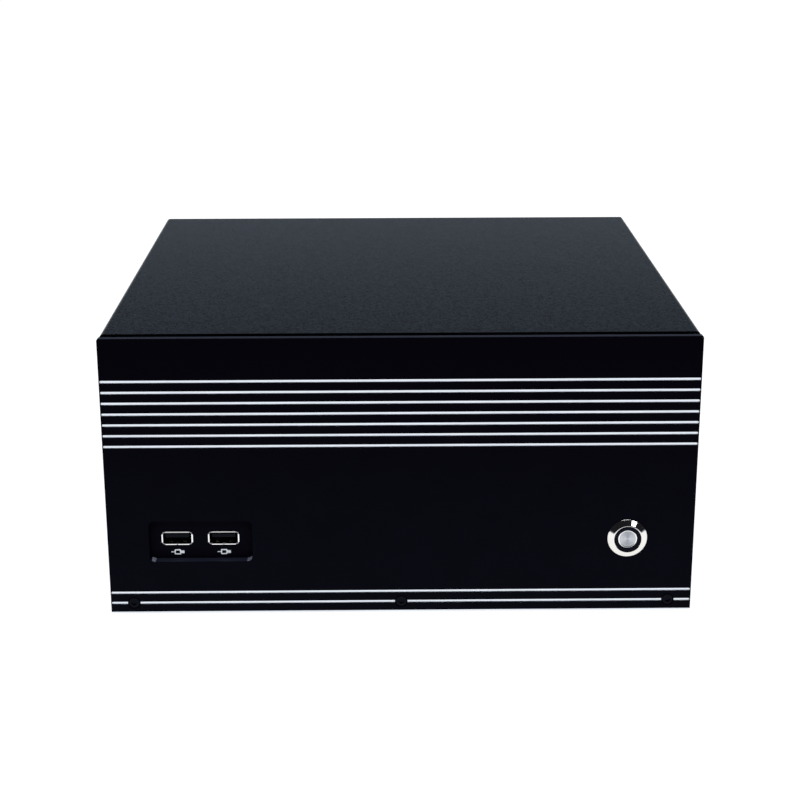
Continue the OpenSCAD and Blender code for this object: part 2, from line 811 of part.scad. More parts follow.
module memory_modules()
    color([0.04, 0.1, 0.06])
    for (x = dimm_xs) {
        box([x - 0.6, x + 0.6], [dimm_y[0] + 3.4, dimm_y[1] - 1.4], [board_top + 2.2, board_top + 34]);
        for (i = [0 : 7])
            box([x - 1.6, x + 1.6], [dimm_y[0] + 9 + i * 15.6, dimm_y[0] + 19 + i * 15.6],
                [board_top + 17, board_top + 30]);
    }

// Latch at the front end of a memory socket, swinging on the pin between its cheeks.
module memory_latch(x)
    color([0.75, 0.75, 0.73])
    difference() {
        union() {
            along_x(x - 2.2, 4.4)
                translate([latch_y, latch_z]) {
                    circle(r = 2.6);
                    translate([-2.6, 0]) square([4.6, 21]);
                    translate([1, 15]) square([4.9, 3.6]);
                }
        }
        translate([x - 4, latch_y, latch_z]) rotate([0, 90, 0]) bar(2, 0, 8);
    }
module memory_latch_left() memory_latch(dimm_xs[0]);
module memory_latch_right() memory_latch(dimm_xs[1]);

module card_socket() {
    x = board_x[0] + 8;
    y = [cpu_y - 59, cpu_y + 30];
    color([0.06, 0.06, 0.07])
        difference() {
            box([x - 3.75, x + 3.75], y, [board_top, board_top + 11]);
            box([x - 1, x + 1], [y[0] + 3, y[0] + 72], [board_top + 3, board_top + 12]);
            box([x - 1, x + 1], [y[0] + 74, y[1] - 3], [board_top + 3, board_top + 12]);
        }
}

// Sockets for the main and the processor supply, each with its plug pushed in.
module power_sockets()
    color([0.07, 0.07, 0.07]) {
        block([power_plug[0], power_plug[1], board_top + 6], [52, 9.8, 12]);
        block([power_plug[0], power_plug[1], board_top + 16], [50, 8.4, 10]);
        block([cpu_plug[0], cpu_plug[1], board_top + 6], [18, 9.8, 12]);
        block([cpu_plug[0], cpu_plug[1], board_top + 16], [17, 8.4, 10]);
    }

// Drive sockets, the front sockets' header and the button's header, with their plugs.
module data_sockets() {
    color([0.07, 0.07, 0.08]) {
        for (y = [header_y, header_y + 10])
            block([data_x, y, board_top + 4], [17, 5.6, 8]);
        block([data_x, header_y, data_plug_top - 2.5], [15, 4.6, 5]);
        block([usb_header_x, header_y, board_top + 4.5], [24, 9, 9]);
        block([usb_header_x, header_y, board_top + 13], [22, 8, 9]);
        block([button_header_x, header_y, board_top + 2.5], [5, 5, 5]);
    }
}

module chokes()
    color([0.2, 0.2, 0.21])
    for (i = [0 : 5])
        translate([cpu_x - 34 + i * 11, board_y[1] - 34, board_top]) {
            block([0, 0, 2.2], [8, 7.4, 4.4]);
            block([0, 0, 4.6], [6.4, 5.8, 0.6]);
        }

module capacitors()
    color([0.72, 0.73, 0.76]) {
        for (i = [0 : 6])
            translate([cpu_x - 36 + i * 10, board_y[1] - 25.4, 0]) bar(6.3, board_top, board_top + 7);
        for (i = [0 : 3])
            translate([board_x[1] - 5.5, cpu_y - 40 + i * 22, 0]) bar(6.3, board_top, board_top + 7);
    }

module board_heatsinks() {
    mid = [board_x[0] + 27, cpu_y - 30];
    color([0.12, 0.12, 0.13]) {
        block([mid[0], mid[1], board_top + 3], [26, 26, 4]);
        for (i = [0 : 6])
            block([mid[0] - 12 + i * 4, mid[1], board_top + 8], [1.4, 26, 8]);
    }
}

module clock_battery()
    color([0.7, 0.7, 0.72])
    translate([board_x[0] + 29, cpu_y + 8, 0]) {
        bar(21.5, board_top, board_top + 2.5);
        bar(20, board_top + 2.5 - e, board_top + 5);
    }

// ---------------------------------------------------------------- rear sockets

module usb_pair(x) {
    w = usb_mouth[0];
    h = usb_mouth[1];
    difference() {
        box([x - usb_stack[0] / 2, x + usb_stack[0] / 2], port_y, [board_top, board_top + usb_stack[1]]);
        for (z = [board_top + 4, board_top + 11.6])
            box([x - w / 2, x + w / 2], [port_y[1] - 11, port_y[1] + 1], [z - h / 2, z + h / 2]);
    }
    for (z = [board_top + 4, board_top + 11.6])
        box([x - w / 2 + 0.8, x + w / 2 - 0.8], [port_y[1] - 11 - e, port_y[1] - 1], [z + 0.2, z + 1.9]);
}

module rear_usb_ports()
    color([0.8, 0.8, 0.82])
    for (x = usb_stack_xs) usb_pair(x);

module network_port() {
    z = network_z;
    color([0.8, 0.8, 0.82])
        difference() {
            box([network_x - 8, network_x + 8], [port_y[0], port_y[1]], [z, z + 13.5]);
            box([network_x - 6, network_x + 6], [port_y[1] - 12, port_y[1] + 1], [z + 4, z + 11.5]);
            box([network_x - 3, network_x + 3], [port_y[1] - 12, port_y[1] + 1], [z + 1.5, z + 4.5]);
        }
}

module video_ports()
    color([0.78, 0.78, 0.8]) {
        difference() {
            box([video_x - 8.4, video_x + 8.4], port_y, [board_top, board_top + 10.2]);
            box([video_x - 7, video_x + 7], [port_y[1] - 8, port_y[1] + 1], [board_top + 3, board_top + 8.4]);
        }
        box([video_x - 5, video_x + 5], [port_y[1] - 8 - e, port_y[1] - 1],
            [board_top + 5, board_top + 6.6]);
        difference() {
            box([video_x - 8.4, video_x + 8.4], port_y, [board_top + 15, board_top + 22.2]);
            box([video_x - 7, video_x + 7], [port_y[1] - 8, port_y[1] + 1],
                [board_top + 16.4, board_top + 20.8]);
        }
        box([video_x - 8.4, video_x + 8.4], [port_y[0], port_y[0] + 8],
            [board_top + 10.2 - e, board_top + 15 + e]);
    }

module audio_jacks()
    color([0.1, 0.1, 0.1])
    difference() {
        union() {
            box([audio_x - 6.2, audio_x + 6.2], [port_y[0] + 2, y_back - 1], [board_top, board_top + 35]);
            for (z = audio_zs) to_back(audio_x, y_back - 1 - e, z) bar(8, 0, 2);
        }
        for (z = audio_zs) to_back(audio_x, y_back - 14, z) bar(3.6, 0, 20);
    }

// ---------------------------------------------------------------- power supply

module psu_case()
    color([0.62, 0.63, 0.65])
    difference() {
        box(psu_x, psu_y, psu_z);
        box([psu_x[0] + psu_t, psu_x[1] - psu_t], [psu_y[0] + psu_t, psu_y[1] - psu_t],
            [psu_z[0] + psu_t, psu_z[1] - psu_t]);
        along_y(psu_y[1] - 2, 3) {
            translate([psu_mid, inlet_z]) square(inlet_body + [0.4, 0.4], center = true);
            translate([psu_mid, psu_fan_z]) circle(d = psu_fan - 4);
            for (p = psu_screws) translate(p) circle(d = 3.1);
        }
        along_y(psu_y[0] - 1, 3) {
            translate([psu_mid + 8, psu_z[0] + 49.5]) square([9, 60], center = true);
            translate([psu_mid - 8, psu_z[0] + 44]) slot_row(4, 6, 2.6, 50);
        }
        along_x(psu_x[1] - 2, 4)
            for (row = [0, 1])
                translate([psu_y[0] + 45, psu_z[0] + 24 + row * 30]) slot_row(7, 7, 2.6, 22);
    }

module psu_fan_at()
    to_front(psu_mid, psu_y[1] - psu_t - e, psu_fan_z) children();
module psu_fan_frame()
    color([0.05, 0.05, 0.05])
    psu_fan_at() fan_frame(psu_fan, psu_fan_t, psu_hole, 22);
module psu_fan_rotor()
    color([0.07, 0.07, 0.07])
    psu_fan_at() fan_rotor(psu_fan, psu_fan_t, 22);

// Moulded block with the three-pin inlet below and the rocker's well above.
module mains_inlet() {
    body_l = 20;
    color([0.06, 0.06, 0.06])
        difference() {
            union() {
                along_y(y_back, inlet_face - y_back)
                    translate([psu_mid, inlet_z])
                        rounded_rect(inlet_flange[0], inlet_flange[1], inlet_r);
                along_y(y_back - body_l, body_l + e)
                    translate([psu_mid, inlet_z]) square(inlet_body, center = true);
            }
            along_y(inlet_face - 15, 16)
                translate([psu_mid, pin_z])
                    polygon([[-12.2, -8], [12.2, -8], [12.2, 4], [8.2, 8], [-8.2, 8], [-12.2, 4]]);
            block([psu_mid, inlet_face - 3, rocker_z], [15.4, 8, 11]);
            translate([psu_mid, rocker_y, rocker_z]) bar(1.8, -6.8, 6.8);
        }
}

module mains_pins()
    color([0.8, 0.75, 0.6]) {
        for (dx = [-7, 7]) block([psu_mid + dx, inlet_face - 8.5, pin_z - 2], [2, 13, 4]);
        block([psu_mid, inlet_face - 8.5, pin_z + 2], [2, 13, 4]);
    }

module mains_rocker()
    color([0.05, 0.05, 0.05])
    translate([psu_mid, rocker_y, rocker_z])
        rotate([0, 0, rocker_tilt]) {
            translate([0, 0, -5.2])
                linear_extrude(10.4)
                    polygon([[-6.4, 3.4], [0, 2.4], [6.4, 3.4], [6.4, 1.2], [2, -2], [-2, -2], [-6.4, 1.2]]);
            bar(1.6, -6.5, 6.5);
        }

// Sleeved leads of the power supply, the last one with the drive's plug.
module psu_leads()
    color([0.05, 0.05, 0.05]) {
        for (route = power_routes) lead(route, 6);
        block(drive_end + [4 + e, -10, 0], [8, 22, 6.4]);
    }

// ---------------------------------------------------------------- drive

module drive_bracket()
    color([0.6, 0.6, 0.62])
    difference() {
        union() {
            box([drive_x, drive_x + drive[0]], [drive_y, drive_y + drive[1]], [bracket_z - sheet, bracket_z]);
            for (s = [0, 1]) {
                leg_x = drive_x + s * (drive[0] - sheet);
                foot_x = drive_x + (s == 0 ? -10 : drive[0] - sheet);
                box([leg_x, leg_x + sheet], [drive_y, drive_y + drive[1]], [deck_z, bracket_z - e]);
                box([foot_x, foot_x + 10 + sheet], [drive_y, drive_y + drive[1]], [deck_z, deck_z + sheet]);
            }
        }
        for (x = bracket_foot_xs, y = drive_screw_ys)
            translate([x, y, 0]) bar(screw_hole, deck_z - 1, deck_z + 3);
        for (x = drive_screw_xs, y = drive_screw_ys)
            translate([x, y, 0]) bar(screw_hole, bracket_z - 3, bracket_z + 1);
    }

module solid_state_drive()
    color([0.1, 0.1, 0.11])
    difference() {
        translate([drive_x + drive[0] / 2, drive_y + drive[1] / 2, bracket_z])
            linear_extrude(drive[2]) rounded_rect(drive[0], drive[1], 2);
        for (x = drive_screw_xs, y = drive_screw_ys)
            translate([x, y, 0]) bar(3, bracket_z - 1, bracket_z + 3.5);
    }

// Data lead of the drive with the plug at the drive's end.
module drive_lead()
    color([0.5, 0.05, 0.05]) {
        block(drive_end + [4 + e, 14, 0], [8, 12, 6.4]);
        lead(drive_route, 4);
    }

// ---------------------------------------------------------------- rear fan

module rear_fan_at(y)
    translate([rear_fan_x, y, rear_fan_z]) rotate([90, 0, 0]) children();
module rear_fan_frame()
    color([0.05, 0.05, 0.05])
    rear_fan_at(y_back) fan_frame(rear_fan, rear_fan_t, rear_fan_hole, 27);
module rear_fan_rotor()
    color([0.07, 0.07, 0.07])
    rear_fan_at(y_back) fan_rotor(rear_fan, rear_fan_t, 27);

module rear_fan_guard() {
    wire = 1.6;
    reach = rear_fan_hole * sqrt(2);
    color([0.75, 0.76, 0.78])
        to_back(rear_fan_x, y_back_out, rear_fan_z) {
            for (r = [9, 17, 25]) tube(2 * r + wire, 2 * r - wire, 0.4, ear_t + 0.8);
            for (a = [45, 135])
                rotate([0, 0, a]) block([0, 0, ear_t / 2], [2 * reach - 6, wire, ear_t - 0.2]);
            for (sx = [-1, 1], sy = [-1, 1])
                translate([sx * rear_fan_hole, sy * rear_fan_hole, 0]) tube(8, 4.4, 0, ear_t);
        }
}

module rear_fan_screws()
    color([0.7, 0.7, 0.72])
    for (sx = [-1, 1], sy = [-1, 1])
        to_back(rear_fan_x + sx * rear_fan_hole, y_back_out + ear_t, rear_fan_z + sy * rear_fan_hole)
            pan_screw(4.1, 7.4, pan_h, 9);

front_panel();
front_panel_screws();
port_marks();
top_cover();
cover_screws();
chassis_tray();
rubber_feet();
foot_screws();
slot_covers();
rear_wall_screws();
io_shield();
power_button_bezel();
power_button_ring();
power_button_cap();
power_button_spring();
power_button_nut();
power_button_base();
power_button_lead();
front_usb_shells();
front_usb_tongues();
front_usb_contacts();
front_usb_board();
usb_board_bracket();
front_usb_lead();
mainboard();
board_standoffs();
board_and_drive_screws();
processor();
heatsink();
cpu_fan_frame();
cpu_fan_rotor();
memory_sockets();
memory_modules();
memory_latch_left();
memory_latch_right();
card_socket();
power_sockets();
data_sockets();
chokes();
capacitors();
board_heatsinks();
clock_battery();
rear_usb_ports();
network_port();
video_ports();
audio_jacks();
psu_case();
psu_fan_frame();
psu_fan_rotor();
mains_inlet();
mains_pins();
mains_rocker();
psu_leads();
drive_bracket();
solid_state_drive();
drive_lead();
rear_fan_frame();
rear_fan_rotor();
rear_fan_guard();
rear_fan_screws();
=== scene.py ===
"""Looks of the desktop mini PC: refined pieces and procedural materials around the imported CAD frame."""
import math
import random

import bmesh
import bpy
from mathutils import Matrix, Vector


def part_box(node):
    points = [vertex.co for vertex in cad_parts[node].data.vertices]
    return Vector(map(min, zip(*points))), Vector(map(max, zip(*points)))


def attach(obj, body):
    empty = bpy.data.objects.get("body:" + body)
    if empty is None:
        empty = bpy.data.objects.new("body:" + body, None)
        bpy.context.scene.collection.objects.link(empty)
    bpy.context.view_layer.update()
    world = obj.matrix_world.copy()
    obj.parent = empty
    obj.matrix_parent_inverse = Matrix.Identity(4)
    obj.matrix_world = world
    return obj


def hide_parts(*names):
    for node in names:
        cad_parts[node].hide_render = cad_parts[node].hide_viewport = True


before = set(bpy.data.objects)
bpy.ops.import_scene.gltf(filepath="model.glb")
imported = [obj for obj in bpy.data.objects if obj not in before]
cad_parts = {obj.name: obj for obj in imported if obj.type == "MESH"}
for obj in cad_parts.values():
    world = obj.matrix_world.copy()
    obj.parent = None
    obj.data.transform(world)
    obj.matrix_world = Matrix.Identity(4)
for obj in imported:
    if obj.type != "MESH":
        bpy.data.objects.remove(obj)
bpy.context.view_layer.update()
scene = bpy.context.scene
MM = 0.001
TAU = 2 * math.pi


# ---------- shader nodes


def add_node(tree, kind, links=None, values=None, **settings):
    """A shader node with its settings, its linked inputs and its constant ones."""
    node = tree.nodes.new("ShaderNode" + kind)
    for name, setting in settings.items():
        setattr(node, name, setting)
    for name, output in (links or {}).items():
        tree.links.new(output, node.inputs[name])
    for name, value in (values or {}).items():
        node.inputs[name].default_value = value
    return node


def calculated(tree, operation, *operands):
    """Output of a maths node whose operands are outputs or numbers."""
    node = add_node(tree, "Math", operation=operation)
    for socket, operand in zip(node.inputs, operands):
        if isinstance(operand, (int, float)):
            socket.default_value = operand
        else:
            tree.links.new(operand, socket)
    return node.outputs["Value"]


def ramp_colour(tree, value, low, high, start, end):
    """Colour that goes from low to high as value goes from start to end."""
    node = add_node(tree, "ValToRGB", {"Fac": value})
    first, last = node.color_ramp.elements
    first.position, last.position = start, end
    first.color, last.color = (*low, 1), (*high, 1)
    return node.outputs["Color"]


# ---------- materials


class Surface:
    """A node material under construction: a Principled shader with procedural inputs."""

    def __init__(self, name, colour, rough, metal=0.0, gloss=0.5):
        self.mat = bpy.data.materials.new(name)
        self.mat.use_nodes = True
        self.tree = self.mat.node_tree
        self.shader = self.tree.nodes["Principled BSDF"]
        self.colour = colour
        self.rough = rough
        plain = {
            "Base Color": (*colour, 1), "Roughness": rough, "Metallic": metal,
            "Specular IOR Level": gloss,
        }
        for socket, value in plain.items():
            self.shader.inputs[socket].default_value = value
        self.place = self.node("TexCoord").outputs["Object"]
        self.normal = None

    def node(self, kind, links=None, values=None, **settings):
        return add_node(self.tree, kind, links, values, **settings)

    def feed(self, socket, output):
        """Link an output to one of the shader's inputs."""
        self.tree.links.new(output, self.shader.inputs[socket])
        return self

    def scaled(self, size_mm, stretch=(1, 1, 1)):
        """The surface's place in units of size_mm, longer where stretch is larger."""
        scale = [1 / (size_mm * MM * s) for s in stretch]
        return self.node("Mapping", {"Vector": self.place}, {"Scale": scale}).outputs["Vector"]

    def noise(self, size_mm, stretch=(1, 1, 1), detail=2.0, roughness=0.55):
        """Noise whose grain is about size_mm across, longer where stretch is larger."""
        values = {"Scale": 1, "Detail": detail, "Roughness": roughness}
        return self.node("TexNoise", {"Vector": self.scaled(size_mm, stretch)}, values).outputs["Fac"]

    def cells(self, size_mm):
        """Distance to the middle of the nearest of cells about size_mm across."""
        return self.node("TexVoronoi", {"Vector": self.scaled(size_mm)}, {"Scale": 1}).outputs["Distance"]

    def along(self, axis):
        """One coordinate of the surface's place, in metres."""
        return self.node("SeparateXYZ", {"Vector": self.place}).outputs[axis]

    def rising(self, value, start, end, low=0, high=1):
        """From low, up to start, to high, from end on."""
        values = {"From Min": start, "From Max": end, "To Min": low, "To Max": high}
        return self.node("MapRange", {"Value": value}, values).outputs["Result"]

    def tint(self, value, spread, start=0.3, end=0.7):
        """Base colour varies by spread either way with value."""
        low = [c * (1 - spread) for c in self.colour]
        high = [min(1, c * (1 + spread)) for c in self.colour]
        return self.feed("Base Color", ramp_colour(self.tree, value, low, high, start, end))

    def towards(self, colour, factor):
        """Base colour, tinted already, goes to colour as factor goes to 1."""
        tinted = self.shader.inputs["Base Color"].links[0].from_socket
        mix = self.node("Mix", {"A": tinted, "Factor": factor}, {"B": (*colour, 1)}, data_type="RGBA")
        return self.feed("Base Color", mix.outputs["Result"])

    def worn(self, value, spread, start=0.3, end=0.7):
        """Roughness varies by spread either way with value."""
        low, high = max(0.02, self.rough - spread), min(1, self.rough + spread)
        return self.feed("Roughness", self.rising(value, start, end, low, high))

    def bump(self, value, height_mm, strength=1.0):
        """Relief of height_mm on top of the relief that is there already."""
        links = {"Height": value}
        if self.normal is not None:
            links["Normal"] = self.normal
        values = {"Strength": strength, "Distance": height_mm * MM}
        self.normal = self.node("Bump", links, values).outputs["Normal"]
        return self.feed("Normal", self.normal)


def anodised():
    """Blasted and anodised black, with painted shade: the base colour darkens towards the panel's top,
    standing in for the light from the floor that falls off upwards.
    """
    s = Surface("anodised_black", (0.0024, 0.0024, 0.0054), 0.38, gloss=0.012)
    fine = s.noise(0.25)
    s.tint(s.noise(14, detail=4), 0.12).worn(fine, 0.05).bump(fine, 0.003, 0.5)
    # Painted shade: from 3 cm up to the panel's top the base colour goes over to a deeper black.
    return s.towards((0.0009, 0.0005, 0.0022), s.rising(s.along("Z"), 0.03, 0.135)).mat


def cut_anodised(name, colour):
    """Walls milled through the panel, a little lighter where the cutter left its marks; the colours given are
    lighter than the face's black and paint light onto the faces that take them.
    """
    s = Surface(name, colour, 0.45, gloss=0.1)
    lines = s.noise(0.2, (1, 30, 1), detail=3)
    return s.tint(lines, 0.4).worn(lines, 0.08).bump(lines, 0.004, 0.5).mat


def milled():
    """Bare aluminium with the cutter's long fine lines."""
    s = Surface("milled_aluminium", (0.755, 0.80, 0.875), 0.3, metal=1.0)
    lines = s.noise(0.1, (220, 1, 1), detail=3)
    return s.tint(s.noise(1.6, (14, 1, 1)), 0.06).worn(lines, 0.08).bump(lines, 0.0008, 0.5).mat


def powder_coat(name, colour, gloss=0.3, rough=0.5, speck=0.22, bump_mm=0.02, size=0.55):
    """Coat with specks of colour and relief; size is the grain's, in mm."""
    s = Surface(name, colour, rough, gloss=gloss)
    grain = s.noise(size, detail=3, roughness=0.7)
    s.tint(grain, speck, 0.38, 0.62).worn(s.noise(9, detail=3), 0.012)
    return s.bump(grain, bump_mm, 0.8).bump(s.cells(0.9), bump_mm * 0.4, 0.5)


def cover_coat():
    """The cover's coat, with painted shade on its front edge: the face of the cut sheet goes nearly black."""
    colour = (0.0085, 0.0115, 0.0160)
    s = powder_coat("cover_powder_coat", colour, gloss=0.04, rough=0.17, speck=0.95, bump_mm=0.06, size=1.15)
    s.worn(s.noise(1.1, detail=3, roughness=0.7), 0.06, 0.38, 0.62)
    # Painted shade: the last few hundredths of a millimetre at the front, the edge's face, go over to near
    # black.
    edge = s.rising(s.along("Y"), COVER_EDGE + 0.00006, COVER_EDGE + 0.00004)
    return s.towards((0.0006, 0.0006, 0.0012), edge).mat


def chassis_coat():
    """The tray's coat, blacker where it closes the openings of the panel."""
    s = powder_coat("chassis_powder_coat", (0.012, 0.012, 0.015), gloss=0.015, rough=0.55)
    near_wall = s.rising(s.along("Y"), WALL_FACE + 0.004, WALL_FACE + 0.002)
    return s.towards((0.0020, 0.0019, 0.0046), near_wall).mat


def plain_metal(name, colour, rough, grain=(1, 1, 1), size=0.3, spread=0.06):
    """Metal with a fine grain, drawn out along the longer sides of grain."""
    s = Surface(name, colour, rough, metal=1.0)
    lines = s.noise(size, grain, detail=3)
    return s.tint(s.noise(5, detail=4), spread).worn(lines, 0.08).bump(lines, 0.006, 0.5).mat


def turned_metal(centre):
    """Turned face: fine rings round the centre, with a painted sheen: the base colour is lighter to the left
    and right of the centre and darker above and below it.
    """
    s = Surface("turned_steel", (0.36, 0.375, 0.41), 0.3, metal=1.0)
    place = s.node("VectorMath", {0: s.place}, {1: centre}, operation="SUBTRACT").outputs["Vector"]
    split = s.node("SeparateXYZ", {"Vector": place}).outputs
    angle = calculated(s.tree, "ARCTAN2", split["Z"], split["X"])
    painted_sheen = calculated(s.tree, "COSINE", calculated(s.tree, "MULTIPLY", angle, 2))
    # Painted highlight: a bow-tie of light and shade in the base colour, standing in for the turning's sheen.
    dull, bright = (0.31, 0.325, 0.365), (0.50, 0.515, 0.555)
    s.feed("Base Color", ramp_colour(s.tree, s.rising(painted_sheen, -1, 1), dull, bright, 0, 1))
    values = {"Scale": 1 / (RING_RADIAN * MM) / WAVE_RADIANS, "Distortion": 0.4}
    wave = s.node("TexWave", {"Vector": place}, values, wave_type="RINGS", rings_direction="Y")
    rings = wave.outputs["Fac"]
    s.worn(rings, 0.04).bump(rings, 0.003, 0.5)
    s.shader.inputs["Anisotropic"].default_value = 0.6
    return s.mat


def spangled():
    """Galvanised steel with its crystals."""
    s = Surface("galvanised", (0.50, 0.51, 0.53), 0.38, metal=1.0)
    return s.tint(s.cells(3.2), 0.07, 0.1, 0.9).worn(s.noise(2), 0.08).mat


def moulded(name, colour, rough=0.5, gloss=0.4, grain=0.25):
    """Moulded plastic; grain is the size of its texture in mm."""
    s = Surface(name, colour, rough, gloss=gloss)
    fine = s.noise(grain)
    return s.tint(s.noise(3, detail=3), 0.12).worn(fine, 0.06).bump(fine, 0.012, 0.6).mat


def rubber():
    s = Surface("rubber_black", (0.018, 0.018, 0.018), 0.75, gloss=0.3)
    fine = s.noise(0.5)
    return s.tint(fine, 0.3).bump(fine, 0.03, 0.7).mat


def circuit(name, mask, track):
    """Solder mask over fine right-angled tracks."""
    s = Surface(name, mask, 0.35, gloss=0.5)
    shaded = [c * 0.8 for c in mask]
    colours = {"Color1": (*mask, 1), "Color2": (*shaded, 1), "Mortar": (*track, 1)}
    values = {"Scale": 1, "Mortar Size": 0.045, **colours}
    tracks = s.node("TexBrick", {"Vector": s.scaled(3.2)}, values).outputs
    return s.feed("Base Color", tracks["Color"]).bump(tracks["Fac"], 0.02, 0.5).mat


def sleeve():
    """Braided sleeve over a bundle of wires."""
    s = Surface("black_sleeve", (0.02, 0.02, 0.02), 0.7, gloss=0.25)
    weave = s.cells(0.9)
    return s.tint(weave, 0.5, 0.1, 0.6).bump(weave, 0.12, 0.9).mat


# The turned rings take 0.25 mm for each radian of the wave texture, which has 20 radians to a unit.
RING_RADIAN = 0.25
WAVE_RADIANS = 20
COVER_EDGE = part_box("top_cover")[0].y
WALL_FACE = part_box("chassis_tray")[0].y
CAP_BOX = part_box("power_button_cap")
M = {
    "anodised": anodised(),
    # Painted light: a lighter copy of the anodised black for the faces that look up to the lamps, the
    # pocket's ledge and the panel's top edge.
    "cut": cut_anodised("anodised_cut", (0.016, 0.019, 0.032)),
    # Painted highlight: a glint on the rounded corners at the ends of the pocket's ledge.
    "corner_painted_highlight": cut_anodised("anodised_corner_painted_highlight", (0.20, 0.21, 0.27)),
    "milled": milled(),
    "cover": cover_coat(),
    "chassis": chassis_coat(),
    "screw_black": plain_metal("black_zinc", (0.006, 0.006, 0.010), 0.3),
    "zinc": plain_metal("bright_zinc", (0.60, 0.61, 0.62), 0.3),
    "nickel": plain_metal("nickel_shell", (0.92, 0.92, 0.93), 0.16, (1, 8, 1)),
    # Painted shade: a darker copy of the shell's nickel, for the top lips of the front sockets.
    "nickel_top_lip_painted_shade": plain_metal("nickel_top_lip_painted_shade", (0.50, 0.50, 0.49), 0.25, (1, 8, 1)),
    # Painted shade: a darker copy of the nickel, for the corner rims, the springs and the outside of the
    # shell's body.
    "nickel_dark": plain_metal("nickel_shaded", (0.26, 0.265, 0.29), 0.3, (1, 8, 1)),
    # Painted shade: near-black nickel for the insides of the socket shells, where shade falls.
    "shell_inside_painted_shade": plain_metal("nickel_inside_painted_shade", (0.012, 0.012, 0.016), 0.35, (1, 8, 1)),
    "polished": plain_metal("polished_steel", (0.80, 0.79, 0.76), 0.05, size=0.15, spread=0.02),
    "turned": turned_metal((CAP_BOX[0] + CAP_BOX[1]) / 2),
    "ring": moulded("ring_diffuser", (0.0035, 0.004, 0.010), 0.3, 0.03),
    "ink": moulded("printed_white", (0.80, 0.83, 0.88), 0.5, 0.3, 0.1),
    "plastic": moulded("black_nylon", (0.014, 0.014, 0.015), 0.5, 0.4),
    "tongue": moulded("socket_tongue", (0.0045, 0.005, 0.0085), 0.4, 0.04),
    "blue": moulded("blue_tongue", (0.02, 0.10, 0.36), 0.4, 0.4),
    "satin": moulded("rotor_plastic", (0.02, 0.02, 0.022), 0.3, 0.5),
    "natural": moulded("natural_nylon", (0.55, 0.55, 0.52), 0.45, 0.4),
    "gold": plain_metal("gold_flash", (0.83, 0.62, 0.24), 0.25),
    "brass": plain_metal("brass", (0.70, 0.52, 0.22), 0.3),
    "galvanised": spangled(),
    "aluminium": plain_metal("mill_aluminium", (0.66, 0.67, 0.69), 0.34, (1, 10, 1)),
    "black_fins": plain_metal("black_anodised_fins", (0.02, 0.02, 0.022), 0.4),
    "ferrite": moulded("pressed_ferrite", (0.05, 0.05, 0.055), 0.6, 0.3, 0.4),
    "ceramic": moulded("chip_ceramic", (0.30, 0.22, 0.14), 0.45, 0.4),
    "chip": moulded("chip_epoxy", (0.012, 0.012, 0.013), 0.45, 0.4, 0.15),
    "rubber": rubber(),
    "board": circuit("dark_solder_mask", (0.008, 0.012, 0.010), (0.018, 0.028, 0.022)),
    "green_board": circuit("green_solder_mask", (0.006, 0.045, 0.02), (0.015, 0.09, 0.04)),
    "sleeve": sleeve(),
    "lime": moulded("jack_lime", (0.22, 0.62, 0.16), 0.4, 0.4),
    "sky": moulded("jack_blue", (0.12, 0.36, 0.72), 0.4, 0.4),
    "pink": moulded("jack_pink", (0.78, 0.26, 0.36), 0.4, 0.4),
    "green_lamp": moulded("lamp_green", (0.08, 0.34, 0.10), 0.25, 0.5),
    "amber_lamp": moulded("lamp_amber", (0.55, 0.28, 0.04), 0.25, 0.5),
    "label": moulded("blank_label", (0.50, 0.51, 0.53), 0.45, 0.35, 0.6),
    "red_lead": moulded("red_lead", (0.30, 0.012, 0.012), 0.5, 0.4),
}


# ---------- mesh helpers


def circle_points(radius, steps):
    """Points of a circle round the origin."""
    turns = [TAU * i / steps for i in range(steps)]
    return [(radius * math.cos(a), radius * math.sin(a)) for a in turns]


def rounded_outline(cx, cz, w, h, r, steps=6):
    """Outline of a rectangle with round corners, as (x, z) points in mm."""
    points = []
    for quarter, (sx, sz) in enumerate([(1, 1), (-1, 1), (-1, -1), (1, -1)]):
        for i in range(steps + 1):
            a = math.pi / 2 * (quarter + i / steps)
            points.append((cx + sx * (w / 2 - r) + r * math.cos(a), cz + sz * (h / 2 - r) + r * math.sin(a)))
    return points


def loft(bm, rings, mat=0, closed=False):
    """Skin over rings of equally many points in mm; the ends are capped unless the skin closes on itself."""
    rows = [[bm.verts.new(Vector(p) * MM) for p in ring] for ring in rings]
    n = len(rows[0])
    pairs = list(zip(rows, rows[1:])) + ([(rows[-1], rows[0])] if closed else [])
    faces = [bm.faces.new((a[i], a[(i + 1) % n], b[(i + 1) % n], b[i])) for a, b in pairs for i in range(n)]
    if not closed:
        faces += [bm.faces.new(rows[0]), bm.faces.new(rows[-1])]
    for f in faces:
        f.material_index = mat
    return faces


def along_y(outline, y):
    """An (x, z) outline as a ring at depth y."""
    return [(x, y, z) for x, z in outline]


def lathe(bm, profile, centre, steps, axis=(0, 1, 0), mat=0, closed=False):
    """Turn (radius, height) points in mm about an axis through centre."""
    axis = Vector(axis)
    side = Vector((1, 0, 0)) if abs(axis.x) < 0.9 else Vector((0, 0, 1))
    up = axis.cross(side)
    rings = []
    for r, h in profile:
        middle = Vector(centre) + axis * h
        if r < 1e-6:
            rings.append([bm.verts.new(middle * MM)])
        else:
            circle = [middle + side * u + up * v for u, v in circle_points(r, steps)]
            rings.append([bm.verts.new(p * MM) for p in circle])
    pairs = list(zip(rings, rings[1:])) + ([(rings[-1], rings[0])] if closed else [])
    faces = []
    for a, b in pairs:
        for i in range(steps):
            j = (i + 1) % steps
            corners = [a[i % len(a)], a[j % len(a)], b[j % len(b)], b[i % len(b)]]
            faces.append(bm.faces.new(list(dict.fromkeys(corners))))
    for f in faces:
        f.material_index = mat
    return faces


